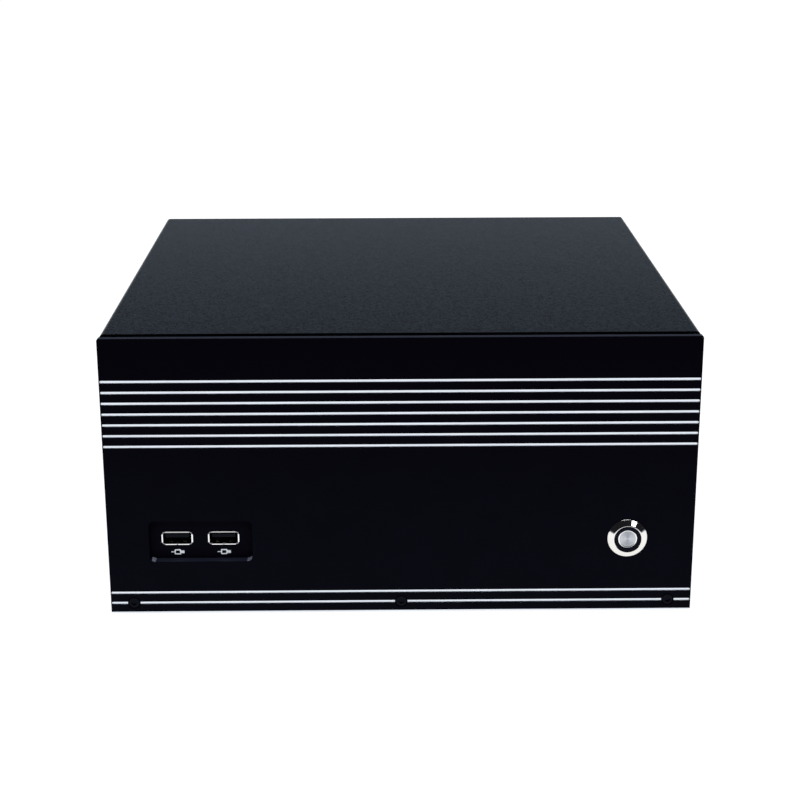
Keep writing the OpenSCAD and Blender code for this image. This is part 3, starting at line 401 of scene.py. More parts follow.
def brick(bm, low, high, mat=0, edge=0.0):
    """Block between two corners in mm, with its four upright edges cut back by edge."""
    (x0, y0, z0), (x1, y1, z1) = low, high
    e = edge
    outline = [(x0, y0), (x1, y0), (x1, y1), (x0, y1)]
    if e > 0:
        outline = [
            (x0 + e, y0), (x1 - e, y0), (x1, y0 + e), (x1, y1 - e),
            (x1 - e, y1), (x0 + e, y1), (x0, y1 - e), (x0, y0 + e),
        ]
    return loft(bm, [[(x, y, z) for x, y in outline] for z in (z0, z1)], mat)


def placed(name, data):
    """New object of the data, linked to the scene."""
    obj = bpy.data.objects.new(name, data)
    scene.collection.objects.link(obj)
    return obj


def object_from(name, bm, mats, smooth=30):
    """Object of a bmesh, shaded smooth up to an angle in degrees."""
    bmesh.ops.recalc_face_normals(bm, faces=bm.faces)
    mesh = bpy.data.meshes.new(name)
    bm.to_mesh(mesh)
    bm.free()
    for m in mats:
        mesh.materials.append(M[m])
    mesh.shade_smooth()
    mesh.set_sharp_from_angle(angle=math.radians(smooth))
    return placed(name, mesh)


def piece(name, bm, mats, node, smooth=30, body="chassis"):
    """A finished piece of the object, which rides on a body and stands for a CAD node."""
    obj = object_from(name, bm, mats, smooth)
    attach(obj, body)
    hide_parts(node)


def carve(bm, cutter, mats):
    """bm less cutter, as a new bmesh; both keep their material numbers."""
    block = object_from("carve_block", bm, mats)
    tool = object_from("carve_tool", cutter, mats)
    cut = block.modifiers.new("cut", "BOOLEAN")
    cut.object = tool
    cut.operation = "DIFFERENCE"
    cut.solver = "EXACT"
    cut.material_mode = "TRANSFER"
    bpy.context.view_layer.update()
    mesh = bpy.data.meshes.new_from_object(block.evaluated_get(bpy.context.evaluated_depsgraph_get()))
    names = [M[m].name for m in mats]
    numbers = [names.index(m.name) for m in mesh.materials]
    out = bmesh.new()
    out.from_mesh(mesh)
    for f in out.faces:
        f.material_index = numbers[f.material_index]
    for o in (block, tool):
        bpy.data.objects.remove(o)
    bpy.data.meshes.remove(mesh)
    return out


# ---------- sizes shared with the part


def node_box(node):
    """Lowest and highest corners of a CAD node at rest, in mm."""
    return [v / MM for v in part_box(node)]


panel_low, panel_high = node_box("front_panel")
y_face = panel_low.y
y_panel = panel_high.y
panel_w = panel_high.x - panel_low.x
panel_h = panel_high.z - panel_low.z
panel_mid_z = (panel_high.z + panel_low.z) / 2
button = sum(node_box("power_button_cap"), Vector()) / 2
button.y = y_face
shell_low, shell_high = node_box("front_usb_shells")
socket_z = (shell_low.z + shell_high.z) / 2
SOCKET_W = 14.4
socket_xs = [shell_low.x + SOCKET_W / 2, shell_high.x - SOCKET_W / 2]
socket_mid = sum(socket_xs) / 2
screw_low, screw_high = node_box("front_panel_screws")
SCREW_D = 5.2
screw_xs = [screw_low.x + SCREW_D / 2, 0, screw_high.x - SCREW_D / 2]
screw_z = (screw_low.z + screw_high.z) / 2
GROOVE_PITCH = 5
GROOVE_ROWS = (0, 1, *range(15, 22))
GROOVE_W = 1.2
GROOVE_DEEP = 0.4
GROOVE_END = 0.45
EDGE_CUT = 1.2
POCKET = (46.4, 19.4, 2.5)
pocket_x = socket_mid + 0.5
pocket_z = socket_z


# ---------- front panel


def panel_plate():
    """The plate with broken edges; its top edge takes finish 2, a lighter copy of the anodised black: painted
    light from above.
    """
    bm = bmesh.new()
    rings = []
    for y, inset in ((y_face, 0.25), (y_face + 0.25, 0), (y_panel - 1.2, 0), (y_panel, 0.9)):
        outline = rounded_outline(0, panel_mid_z, panel_w - 2 * inset, panel_h - 2 * inset, 1.0 - inset)
        rings.append(along_y(outline, y))
    top = panel_mid_z + panel_h / 2
    for f in loft(bm, rings):
        middle = f.calc_center_median() / MM
        if middle.z > top - 0.4 and y_face + 0.2 < middle.y < y_panel - 0.5:
            f.material_index = 2
    return bm


def panel_cutter():
    """The stripes and the cut along the lower edge, all bright: finish 1."""
    bm = bmesh.new()
    out = panel_w / 2 + 2
    for row in GROOVE_ROWS:
        z = screw_z + row * GROOVE_PITCH
        outline = rounded_outline(0, z, panel_w - 2 * GROOVE_END, GROOVE_W, GROOVE_W / 2 - 0.01, 8)
        loft(bm, [along_y(outline, y) for y in (y_face - 1, y_face + GROOVE_DEEP)], 1)
    z = panel_low.z
    wedge = [(y_face - 1, z - 1), (y_face + EDGE_CUT + 1, z - 1), (y_face - 1, z + EDGE_CUT + 1)]
    loft(bm, [[(x, y, z) for y, z in wedge] for x in (-out, out)], 1)
    return bm


def panel_openings():
    """Pocket, button hole and counterbores; the pocket's lower side takes finish 2, painted light from above,
    and its corners 3, a painted highlight.
    """
    bm = bmesh.new()
    w, h, r = POCKET
    rings = []
    for y, grow in ((y_face - 0.3, 0.5), (y_face + 0.2, 0), (y_panel + 1, 0)):
        outline = rounded_outline(pocket_x, pocket_z, w + 2 * grow, h + 2 * grow, r + grow, 10)
        rings.append(along_y(outline, y))
    # The outline's corners run upper right, upper left, lower left, lower right.
    around = len(rings[0])
    corner = around // 4
    # The lower corner arcs take finish 3, a painted highlight; the ledge between them takes finish 2, painted
    # light.
    for k, f in enumerate(loft(bm, rings)[around:2 * around]):
        if 2 * corner + corner // 2 <= k <= 3 * corner + corner // 2:
            f.material_index = 2 if k == 3 * corner - 1 else 3
    hole = [(0, -1), (8.2, -1), (8.2, 7), (0, 7)]
    lathe(bm, hole, button, 96)
    screw_hole = [(0, -0.4), (3.2, -0.4), (2.9, 0), (2.9, 1.7), (1.7, 1.7), (1.7, 7), (0, 7)]
    for x in screw_xs:
        lathe(bm, screw_hole, (x, y_face, screw_z), 48)
    return bm


panel_mats = ["anodised", "milled", "cut", "corner_painted_highlight"]
panel = carve(carve(panel_plate(), panel_cutter(), panel_mats), panel_openings(), panel_mats)
piece("panel_milled", panel, panel_mats, "front_panel")

# Screws with a hexagon socket in a low round head.
SCREW_PROFILE = [
    (0, 0.16), (2.05, 0.16), (2.42, 0.26), (2.6, 0.5), (2.6, 1.66), (1.45, 1.7), (1.45, 9.6), (1.2, 9.95),
    (0, 9.95),
]
HEX_PROFILE = [(0, -0.5), (1.62, -0.5), (1.4, 0.3), (1.4, 1.2), (0, 1.6)]
heads = bmesh.new()
sockets = bmesh.new()
for x in screw_xs:
    lathe(heads, SCREW_PROFILE, (x, y_face, screw_z), 48)
    lathe(sockets, HEX_PROFILE, (x, y_face, screw_z), 6)
heads = carve(heads, sockets, ["screw_black"])
piece("panel_hex_screws", heads, ["screw_black"], "front_panel_screws")


# ---------- power button

# Profiles of (radius, depth behind the panel's face) in mm.
BEZEL_PROFILE = [
    (6.1, 22), (7.75, 22), (7.9, 21.8), (7.9, 0), (8.75, 0), (8.92, -0.03), (8.97, -0.1), (8.94, -0.24),
    (8.84, -0.36), (8.74, -0.43), (8.68, -0.468), (6.78, -1.655), (6.72, -1.693), (6.5, -1.8), (6.3, -1.84),
    (6.14, -1.78), (6.1, -1.62),
]
bezel = bmesh.new()
lathe(bezel, BEZEL_PROFILE, button, 128, closed=True)
piece("button_bezel_turned", bezel, ["polished"], "power_button_bezel", 24)

RING_PROFILE = [(4.4, 8), (6.05, 8), (6.05, -1.35), (5.9, -1.58), (5.3, -1.63), (4.55, -1.53), (4.4, -1.35)]
ring = bmesh.new()
lathe(ring, RING_PROFILE, button, 96, closed=True)
piece("button_light_ring", ring, ["ring"], "power_button_ring")

CAP_PROFILE = [
    (0, -1.2), (3.6, -1.22), (3.74, -1.23), (3.88, -1.3), (4.03, -1.33), (4.2, -1.27),
    (4.28, -1.14), (4.3, -0.95), (4.3, 6), (2.3, 6), (2.3, 13), (0, 13),
]
cap = bmesh.new()
lathe(cap, CAP_PROFILE, button, 96)
for f in cap.faces:
    middle = f.calc_center_median() / MM
    across = math.hypot(middle.x - button.x, middle.z - button.z)
    if across > 3.8 and middle.y < y_face:
        f.material_index = 1
piece("button_cap_brushed", cap, ["turned", "nickel"], "power_button_cap", 20, "power_button")


# ---------- front sockets

BODY_W, BODY_H = 13.1, 5.7
MOUTH_W, MOUTH_H = 12.5, 5.1
SHELL_L = 17
# How far the lips reach outwards, half their lengths, and how far they stand before the panel's back.
FLARE_X, FLARE_TOP, FLARE_LOW = 0.84, 0.78, 0.62
LIP_X, LIP_Z = 5.5, 1.95
LIP_FACE = 0.4
CORNER_R = 1.4


def flare_profile(wall, reach):
    """(outwards, depth) points of a lip rolled out of the shell's wall to a nearly flat face."""
    face = -LIP_FACE
    inner = [(0, 0.55), (0, 0.1), (0.03, -0.12), (0.1, -0.3), (0.2, face), (reach - 0.08, face)]
    outer = [(reach, face + 0.07), (reach, face + 0.2), (wall + 0.2, -0.06), (wall + 0.03, 0.1), (wall, 0.55)]
    return inner + outer


def lip(bm, middle, out, half_len, wall, reach, finish=0):
    """One flared lip of a socket's mouth, with its ends slightly tapered."""
    out, middle = Vector(out), Vector(middle)
    along = Vector((abs(out.z), 0, abs(out.x)))
    rings = []
    for t, cut in ((-1, 0.3), (-0.93, 0.0), (0.93, 0.0), (1, 0.3)):
        ring = []
        for run, depth in flare_profile(wall, reach):
            taper = max(0.0, 1 - cut * (0.55 - depth))
            ring.append(middle + out * run * taper + along * half_len * t + Vector((0, depth, 0)))
        rings.append(ring)
    loft(bm, rings, finish)


def corner_rim(bm, x, z, out_x, out_z):
    """Thin rim that joins two lips round the mouth's corner, in the darker copy of the nickel: painted shade.
    """
    w = MOUTH_W / 2 + FLARE_X - 0.2 - CORNER_R
    h = MOUTH_H / 2 + (FLARE_TOP if out_z > 0 else FLARE_LOW) - 0.2 - CORNER_R
    rings = []
    for i in range(9):
        a = math.pi / 2 * i / 8
        ring = []
        for grow, depth in ((0.0, -0.3), (-0.36, -0.3), (-0.36, 0.5), (0.0, 0.5)):
            u, v = w + (CORNER_R + grow) * math.cos(a), h + (CORNER_R + grow) * math.sin(a)
            ring.append((x + out_x * u, y_panel + depth, z + out_z * v))
        rings.append(ring)
    loft(bm, rings, 1)


def spring(bm, x, y, z):
    """Pressed leaf spring low in the shell, in the darker copy of the nickel: painted shade."""
    low, high, thick = x - 0.9, x + 0.9, 0.2
    rings = []
    for depth, rise in ((1.6, 0.1), (2.6, 0.35), (4.2, 0.75), (5.2, 0.6), (7.5, 0.05)):
        strip = [(low, z + rise), (high, z + rise), (high, z + rise + thick), (low, z + rise + thick)]
        rings.append(along_y(strip, y + depth))
    loft(bm, rings, 3)


def tube(bm, outer, inner, y0, y1, mat=0):
    """Closed tube wall between two outlines; returns the faces of its inner skin."""
    rings = [along_y(outer, y0), along_y(outer, y1), along_y(inner, y1), along_y(inner, y0)]
    return loft(bm, rings, mat, closed=True)[2 * len(outer):3 * len(outer)]


def socket(bm, x):
    """Shell of one front socket with its back, lips, corners and springs."""
    z, y = socket_z, y_panel
    wall = (BODY_W - MOUTH_W) / 2
    outer = rounded_outline(x, z, BODY_W, BODY_H, 0.55)
    inner = rounded_outline(x, z, MOUTH_W, MOUTH_H, 0.25)
    # The inner skin and the back take finish 2, painted shade inside the shell.
    for f in tube(bm, outer, inner, y + 0.5, y + SHELL_L, 1):
        f.material_index = 2
    u, v = MOUTH_W / 2 + 0.05, MOUTH_H / 2 + 0.05
    brick(bm, (x - u, y + SHELL_L - 0.3, z - v), (x + u, y + SHELL_L - 0.02, z + v), 2)
    # The top lip takes finish 4, a darker copy of the nickel: painted shade.
    lip(bm, (x, y, z + MOUTH_H / 2), (0, 0, 1), LIP_X, wall, FLARE_TOP, 4)
    for s in (-1, 1):
        low = (x + s * (LIP_X / 2 + 0.04), y, z - MOUTH_H / 2)
        lip(bm, low, (0, 0, -1), LIP_X / 2 - 0.1, wall, FLARE_LOW)
        lip(bm, (x + s * MOUTH_W / 2, y, z), (s, 0, 0), LIP_Z, wall, FLARE_X)
        for t in (-1, 1):
            corner_rim(bm, x, z, s, t)
        spring(bm, x + s * 3.1, y, z - MOUTH_H / 2 + 0.05)


shells = bmesh.new()
for x in socket_xs:
    socket(shells, x)
# Finishes 1 and 3 paint shade on the body, rims and springs, finish 2 inside the shell, finish 4 on the top
# lip.
shell_mats = ["nickel", "nickel_dark", "shell_inside_painted_shade", "nickel_dark", "nickel_top_lip_painted_shade"]
piece("socket_shells_flared", shells, shell_mats, "front_usb_shells", 35)

tongues = bmesh.new()
half_tongue = [(5.3, 0.2), (5.5, 0.3), (5.5, 1.9), (5.3, 2.1)]
tongue_outline = half_tongue + [(-u, v) for u, v in reversed(half_tongue)]
tongue_root = y_panel + SHELL_L - 3
for x in socket_xs:
    rings = []
    for y, shrink in ((y_panel + 0.4, 0.8), (y_panel + 0.9, 1), (tongue_root, 1)):
        z = socket_z + 0.2
        rings.append([(x + u * shrink ** 0.2, y, z + (v - 0.2) * shrink) for u, v in tongue_outline])
    loft(tongues, rings)
    low, high = (x - 6.1, tongue_root - 0.01, socket_z - 2.4), (x + 6.1, tongue_root + 2.6, socket_z + 2.4)
    brick(tongues, low, high, edge=0.3)
piece("socket_tongues", tongues, ["tongue"], "front_usb_tongues")

# Generic plug outlines printed under the sockets.
marks = bmesh.new()
mark_low, mark_high = node_box("port_marks")
for x in socket_xs:
    z = (mark_low.z + mark_high.z) / 2
    front, back = mark_low.y, mark_high.y
    tube(marks, rounded_outline(x, z, 3.0, 2.5, 0.5), rounded_outline(x, z, 1.9, 1.4, 0.2), front, back)
    tip = rounded_outline(x + 2.25, z, 1.5, 1.3, 0.15)
    cord = rounded_outline(x - 2.2, z, 1.6, 0.4, 0.19)
    for outline in (tip, cord):
        loft(marks, [along_y(outline, front), along_y(outline, back)])
piece("plug_marks", marks, ["ink"], "port_marks")


# ---------- fans


def fan_place(node, axis):
    """Origin, size and thickness in mm of a fan housing whose struts are at the axis's tail."""
    low, high = node_box(node)
    thick = abs((high - low).dot(axis))
    return (low + high) / 2 - axis * thick / 2, max(high - low), thick


BLADES = 7
BLADE_PITCH = math.radians(36)
RADIAL_STEPS = 8
CHORD_STEPS = 8


def blade_section(chord, middle, t_root):
    """Closed (along, height) outline of a cambered blade, thinner towards its edges."""
    upper, lower = [], []
    for i in range(CHORD_STEPS + 1):
        t = i / CHORD_STEPS - 0.5
        bow = 0.06 * chord * (1 - 4 * t * t)
        half = 0.35 * t_root * (1 - 0.75 * (2 * t) ** 2)
        for side, points in ((1, upper), (-1, lower)):
            off = bow + side * half
            points.append((
                t * chord * math.cos(BLADE_PITCH) - off * math.sin(BLADE_PITCH),
                middle + t * chord * math.sin(BLADE_PITCH) + off * math.cos(BLADE_PITCH),
            ))
    return upper + lower[::-1]


def rotor(fan, axis, hub):
    """Hub of the given diameter with twisted blades; axis points away from the fan's struts."""
    axis = Vector(axis)
    origin, size, thick = fan_place(fan + "_frame", axis)
    side = Vector((1, 0, 0))
    up = axis.cross(side)
    z0, z1, r = 2.4, thick - 0.8, hub / 2
    bm = bmesh.new()
    hub_profile = [
        (0, 0.6), (1.45, 0.6), (1.45, z1 - 2), (r - 1.5, z1 - 2), (r - 1.5, z0), (r, z0),
        (r, z1 - 1.2), (r - 0.2, z1 - 0.5), (r - 0.7, z1 - 0.1), (r - 1.3, z1), (r * 0.8, z1),
        (r * 0.78, z1 - 0.2), (0, z1 - 0.2),
    ]
    lathe(bm, hub_profile, origin, 64, axis)
    chord = min(size * 0.28, (thick - 5) / math.sin(BLADE_PITCH))
    tip = (size - 7) / 2
    for blade in range(BLADES):
        rings = []
        for k in range(RADIAL_STEPS + 1):
            f = k / RADIAL_STEPS
            radius = r - 0.5 + (tip - r + 0.5) * f
            base = TAU * blade / BLADES + 0.3 * f ** 1.5
            ring = []
            for along, height in blade_section(chord * (0.72 + 0.25 * f), thick / 2 + 0.6, 2.2 - f):
                a = base + along / radius
                ring.append(origin + (side * math.cos(a) + up * math.sin(a)) * radius + axis * height)
            rings.append(ring)
        loft(bm, rings)
    piece(fan + "_blades", bm, ["satin"], fan + "_rotor", 40, fan)


rotor("cpu_fan", (0, 0, 1), 38)
rotor("psu_fan", (0, -1, 0), 22)
rotor("rear_fan", (0, -1, 0), 27)


def rod(bm, a, b, radius):
    """Round bar between two points, with its ends broken."""
    a, b = Vector(a), Vector(b)
    length = (b - a).length
    soft = radius * 0.4
    near = [(0, 0), (radius - soft, 0), (radius, soft)]
    far = [(radius, length - soft), (radius - soft, length), (0, length)]
    lathe(bm, near + far, a, 12, (b - a).normalized())


guard_low, guard_high = node_box("rear_fan_guard")
guard_middle = (guard_low + guard_high) / 2
guard_ear = (guard_high.x - guard_low.x) / 2 - 4
GUARD_WIRE = 0.75
guard = bmesh.new()
for radius in (9, 17, 25):
    wire = [(radius + u, v) for u, v in circle_points(GUARD_WIRE, 10)]
    lathe(guard, wire, (guard_middle.x, guard_low.y + 1.05, guard_middle.z), 72, closed=True)
for s in (-1, 1):
    middle = Vector((guard_middle.x, guard_low.y + 0.5, guard_middle.z))
    reach = Vector((guard_ear - 1.6, 0, s * (guard_ear - 1.6)))
    rod(guard, middle - reach, middle + reach, 0.45)
    for t in (-1, 1):
        eye = [(2.2, 0.02), (3.85, 0.02), (4, 0.2), (4, 0.8), (3.85, 1), (2.35, 1), (2.2, 0.85)]
        place = (guard_middle.x + t * guard_ear, guard_low.y, guard_middle.z + t * s * guard_ear)
        lathe(guard, eye, place, 40, closed=True)
piece("fan_guard_wires", guard, ["zinc"], "rear_fan_guard", 50)


# ---------- leads, from socket to socket


ROUTE_STEPS = 10


def smooth_route(points):
    """Catmull-Rom curve through given points in mm."""
    p = [Vector(v) for v in points]
    curve = []
    for i in range(len(p) - 1):
        a, b, c, d = p[max(i - 1, 0)], p[i], p[i + 1], p[min(i + 2, len(p) - 1)]
        square, cube = 2 * a - 5 * b + 4 * c - d, 3 * b - 3 * c + d - a
        for s in range(ROUTE_STEPS):
            t = s / ROUTE_STEPS
            curve.append(0.5 * (2 * b + (c - a) * t + square * t * t + cube * t ** 3))
    return curve + [p[-1]]


def lead(bm, route, diameter, ripple=0.02):
    """A round lead along a smooth route, with a faint unevenness along its sleeve."""
    curve = smooth_route(route)
    rings = []
    across = Vector((1, 0, 0))
    run = 0.0
    for i, point in enumerate(curve):
        ahead = (curve[min(i + 1, len(curve) - 1)] - curve[max(i - 1, 0)]).normalized()
        across = (across - ahead * across.dot(ahead)).normalized()
        other = ahead.cross(across)
        run += (point - curve[max(i - 1, 0)]).length
        radius = diameter / 2 * (1 - ripple + ripple * math.sin(run * 0.9))
        rings.append([point + across * u + other * v for u, v in circle_points(radius, 16)])
    loft(bm, rings)


def plug(bm, middle, size):
    """Moulded plug body with its corners taken off, in finish 1."""
    half = Vector(size) / 2
    brick(bm, middle - half, middle + half, 1, 0.6)


board_low, board_high = node_box("mainboard")
board_top = board_high.z
psu_low, psu_high = node_box("psu_case")
psu_mid = (psu_low.x + psu_high.x) / 2
drive_low, drive_high = node_box("solid_state_drive")
usb_board_high = node_box("front_usb_board")[1]
header_y = board_low.y + 7
drive_end = Vector((drive_high.x, drive_low.y + 34, drive_low.z + 3.4))
usb_plug_end = Vector((socket_mid, usb_board_high.y - 2, usb_board_high.z - 3.5))
power_plug = Vector((board_low.x + 96, header_y, board_top + 21))
cpu_plug = Vector((board_low.x + 24, board_high.y - 30, board_top + 21))
USB_HEADER_X, DATA_X, BUTTON_HEADER_X = -26, 6, 80.5
data_plug_top = board_top + 12.5

POWER_ROUTES = [
    [(psu_mid + 8, psu_low.y, 72), (psu_mid + 10, -34, 70), (-60, -44, 62), (-10, -46, 58),
     (28, -43, 54), power_plug + Vector((-8, -1, 9)), power_plug + Vector((-8, 0, 0))],
    [(psu_mid + 8, psu_low.y, 58), (psu_mid + 10, -38, 56), (-60, -54, 52), (-10, -56, 50),
     (40, -52, 50), power_plug + Vector((8, -2, 9)), power_plug + Vector((8, 0, 0))],
    [(psu_mid + 8, psu_low.y, 82), (psu_mid + 14, -32, 84), (-72, -22, 80), (-64, 20, 74),
     (-56, 60, 66), (-34, 88, 54), cpu_plug + Vector((0, -1, 9)), cpu_plug],
    [(psu_mid + 8, psu_low.y, 36), (psu_mid + 10, -38, 40), (-66, -60, 42), (-20, -66, 46),
     (30, -66, 44), (68, -74, 36), drive_end + Vector((20, -8, 1)), drive_end + Vector((6, -10, 0))],
]
power = bmesh.new()
for route in POWER_ROUTES:
    lead(power, route, 6)
plug(power, drive_end + Vector((4.01, -10, 0)), (8, 22, 6.4))
for i in range(5):
    x = drive_end.x + 2.4 + i * 1.1
    brick(power, (x, drive_end.y - 20, drive_end.z + 3.05), (x + 0.5, drive_end.y, drive_end.z + 3.2), 1)
piece("sleeved_power_leads", power, ["sleeve", "plastic"], "psu_leads", 50)

front_lead = bmesh.new()
USB_ROUTE = [
    usb_plug_end, usb_plug_end + Vector((0, 8, 0)), (-80, -66, 28), (-62, -54, 26), (-50, -46, 30),
    (-36, -44, 40), (-28, -40, 43), (USB_HEADER_X, header_y, 40), (USB_HEADER_X, header_y, 34),
]
lead(front_lead, USB_ROUTE, 5)
piece("front_socket_lead", front_lead, ["sleeve"], "front_usb_lead", 50)

data = bmesh.new()
DRIVE_ROUTE = [
    drive_end + Vector((6, 14, 0)), drive_end + Vector((15, 15, 0)), (76, -60, 29), (68, -48, 31),
    (40, -46, 31), (22, -46, 33), (10, -44, 38), (DATA_X, -39, 36), (DATA_X, header_y, data_plug_top),
]
plug(data, drive_end + Vector((4.01, 14, 0)), (8, 12, 6.4))
lead(data, DRIVE_ROUTE, 4, ripple=0.0)
piece("drive_data_lead", data, ["red_lead", "plastic"], "drive_lead", 50)

switch_lead = bmesh.new()
BUTTON_ROUTE = [
    button + Vector((0, 36.5, 0)), (100, -82, 38), (94, -66, 32), (86, -52, 28),
    (BUTTON_HEADER_X, -42, 28), (BUTTON_HEADER_X, header_y, board_top + 5),
]
lead(switch_lead, BUTTON_ROUTE, 2.6, ripple=0.0)
piece("switch_lead", switch_lead, ["red_lead"], "power_button_lead", 50)


# ---------- on the mainboard


def capacitor(bm, x, y, z):
    """Rolled aluminium can with a dark polarity mark on its top."""
    profile = [
        (0, 0), (3.15, 0), (3.15, 0.9), (2.96, 1.2), (2.96, 1.5), (3.15, 1.8), (3.15, 6.6), (3.05, 6.85),
        (2.8, 6.95), (2.6, 6.95), (2.5, 6.85), (0, 6.85),
    ]
    lathe(bm, profile, (x, y, z), 36, (0, 0, 1))
    turns = [math.radians(-52 + 8 * i) for i in range(14)]
    mark = [(x + 2.45 * math.cos(a), y + 2.45 * math.sin(a)) for a in turns]
    loft(bm, [[(u, v, z + h) for u, v in mark] for h in (6.84, 6.9)], 1)


can_low, can_high = node_box("capacitors")
CAN_D = 6.3
cans = bmesh.new()
for i in range(7):
    capacitor(cans, can_low.x + CAN_D / 2 + i * 10, can_high.y - CAN_D / 2, can_low.z)
for i in range(4):
    capacitor(cans, can_high.x - CAN_D / 2, can_low.y + CAN_D / 2 + i * 22, can_low.z)
piece("capacitor_cans", cans, ["aluminium", "chip"], "capacitors", 35)

memory_low, memory_high = node_box("memory_modules")
memory = bmesh.new()
# Rows on each side of a module: how far they stand out, count, start, pitch, length, foot, top, finish, edge.
MEMORY_ROWS = [
    (1.6, 8, 5.6, 15.6, 10, 14.8, 27.8, 1, 0.15),
    (0.95, 26, 4, 4.9, 1.6, 9, 9.8, 3, 0),
    (0.66, 60, 4, 2.08, 1.3, 0.4, 5.6, 2, 0),
]
for x in (memory_low.x + 1.6, memory_high.x - 1.6):
    z = memory_low.z
    brick(memory, (x - 0.6, memory_low.y, z + 2.6), (x + 0.6, memory_high.y, memory_high.z))
    brick(memory, (x - 0.6, memory_low.y + 2, z), (x + 0.6, memory_high.y - 2, z + 2.62))
    for side in (-1, 1):
        for out, count, start, pitch, length, foot, top, finish, edge in MEMORY_ROWS:
            inner, outer = sorted((x + side * 0.58, x + side * out))
            for i in range(count):
                y = memory_low.y + start + i * pitch
                # The small parts of finish 3 stand in three rows, one above the other.
                step = (i % 3) * 1.6 if finish == 3 else 0
                brick(memory, (inner, y, z + foot + step), (outer, y + length, z + top + step), finish, edge)
memory_mats = ["green_board", "chip", "gold", "ceramic"]
piece("memory_sticks", memory, memory_mats, "memory_modules")

# Board with its holes, the small parts in its open areas and the solder pads round its screws.
BOARD_HOLES = [(-6.35, -10.16), (-163.65, -33.02), (-6.35, -165.1), (-163.65, -165.1)]
holes = [Vector((board_high.x + dx, board_high.y + dy, 0)) for dx, dy in BOARD_HOLES]
plate = bmesh.new()
drills = bmesh.new()
outline = rounded_outline(board_low.x + 85, board_low.y + 85, 170, 170, 1.2)
loft(plate, [[(x, y, z) for x, y in outline] for z in (board_low.z, board_top)])
for p in holes:
    lathe(drills, [(0, -1), (2, -1), (2, 4), (0, 4)], (p.x, p.y, board_low.z), 32, (0, 0, 1), 2)
board_mats = ["board", "chip", "gold", "ceramic", "zinc"]
plate = carve(plate, drills, board_mats)
for p in holes:
    pad = [(2.05, 0), (4.4, 0), (4.4, 0.03), (2.05, 0.03)]
    lathe(plate, pad, (p.x, p.y, board_top), 32, (0, 0, 1), 2, closed=True)
rng = random.Random(7)
# Open areas, measured from the board's front left corner: left, front, width, depth.
OPEN_AREAS = [
    (13, 100, 26, 26), (14, 54, 24, 16), (46, 139, 70, 9), (40, 20, 96, 15), (14, 14, 22, 22),
    (136, 154, 24, 8), (118, 126, 22, 12),
]


SMALL_PART_W = 1.6


def small_part(bm, x, y, middle, height, mat):
    """Resistor or capacitor: a block middle mm wide between two soldered ends."""
    end = (SMALL_PART_W - middle) / 2
    blocks = [(0, end, height, 4), (end, middle, height - 0.01, mat), (end + middle, end, height, 4)]
    for u, w, top, finish in blocks:
        brick(bm, (x + u, y, board_top - 0.02), (x + u + w, y + 0.8, board_top + top), finish)


for left, front, width, depth in OPEN_AREAS:
    x = left
    while x < left + width - 2:
        y = front
        while y < front + depth - 1.2:
            bx, by = board_low.x + x, board_low.y + y
            kind = rng.random()
            if kind < 0.42:
                small_part(plate, bx, by, 0.9, 0.35, 1)
            elif kind < 0.75:
                small_part(plate, bx, by, 1.0, 0.7, 3)
            y += 1.5 if kind < 0.9 else 3.2
        x += 2.6 if rng.random() < 0.7 else 5.2


def flat_chip(bm, left, front, w, d):
    """Epoxy package with its legs along two sides."""
    x, y = board_low.x + left, board_low.y + front
    brick(bm, (x + 0.7, y, board_top + 0.1), (x + w - 0.7, y + d, board_top + 1.0), 1, 0.2)
    count = int(d / 0.8)
    for i in range(count):
        for a in (x, x + w - 0.75):
            v = y + 0.2 + i * 0.8
            brick(bm, (a, v, board_top - 0.02), (a + 0.75, v + 0.3, board_top + 0.4), 4)


FLAT_CHIPS = [
    (42, 24, 8, 7), (60, 24, 7, 6), (104, 22, 9, 8), (17, 104, 8, 6), (28, 116, 7, 7), (16, 18, 7, 6),
]
for left, front, w, d in FLAT_CHIPS:
    flat_chip(plate, left, front, w, d)
piece("mainboard_populated", plate, board_mats, "mainboard")


# ---------- rear sockets

port_low, port_high = node_box("rear_usb_ports")
STACK_W, STACK_H, HOLE_W, HOLE_H = 15, 15.6, 12.5, 5.1
stack_xs = [port_high.x - STACK_W / 2, port_high.x - STACK_W / 2 - 46, port_low.x + STACK_W / 2]
stacks = bmesh.new()
cavities = bmesh.new()
hole_zs = (port_low.z + 4, port_low.z + 11.6)
for x in stack_xs:
    half = STACK_W / 2
    brick(stacks, (x - half, port_low.y, port_low.z), (x + half, port_high.y, port_low.z + STACK_H))
    for z in hole_zs:
        opening = rounded_outline(x, z, HOLE_W, HOLE_H, 0.3)
        flared = rounded_outline(x, z, HOLE_W + 0.8, HOLE_H + 0.8, 0.6)
        rings = ((opening, -11), (opening, -0.35), (flared, 0.1))
        loft(cavities, [along_y(outline, port_high.y + depth) for outline, depth in rings], 1)
# The cavities take finish 1, painted shade inside the sockets.
port_mats = ["nickel", "shell_inside_painted_shade", "blue", "gold"]
stacks = carve(stacks, cavities, port_mats)
for x in stack_xs:
    for z in hole_zs:
        brick(stacks, (x - 5.45, port_high.y - 11.01, z + 0.2), (x + 5.45, port_high.y - 1, z + 1.9), 2)
        for i in range(4):
            u = x - 3.9 + i * 2.2
            brick(stacks, (u, port_high.y - 9, z + 0.1), (u + 1.1, port_high.y - 1.6, z + 0.22), 3)
piece("rear_usb_stacks", stacks, port_mats, "rear_usb_ports")

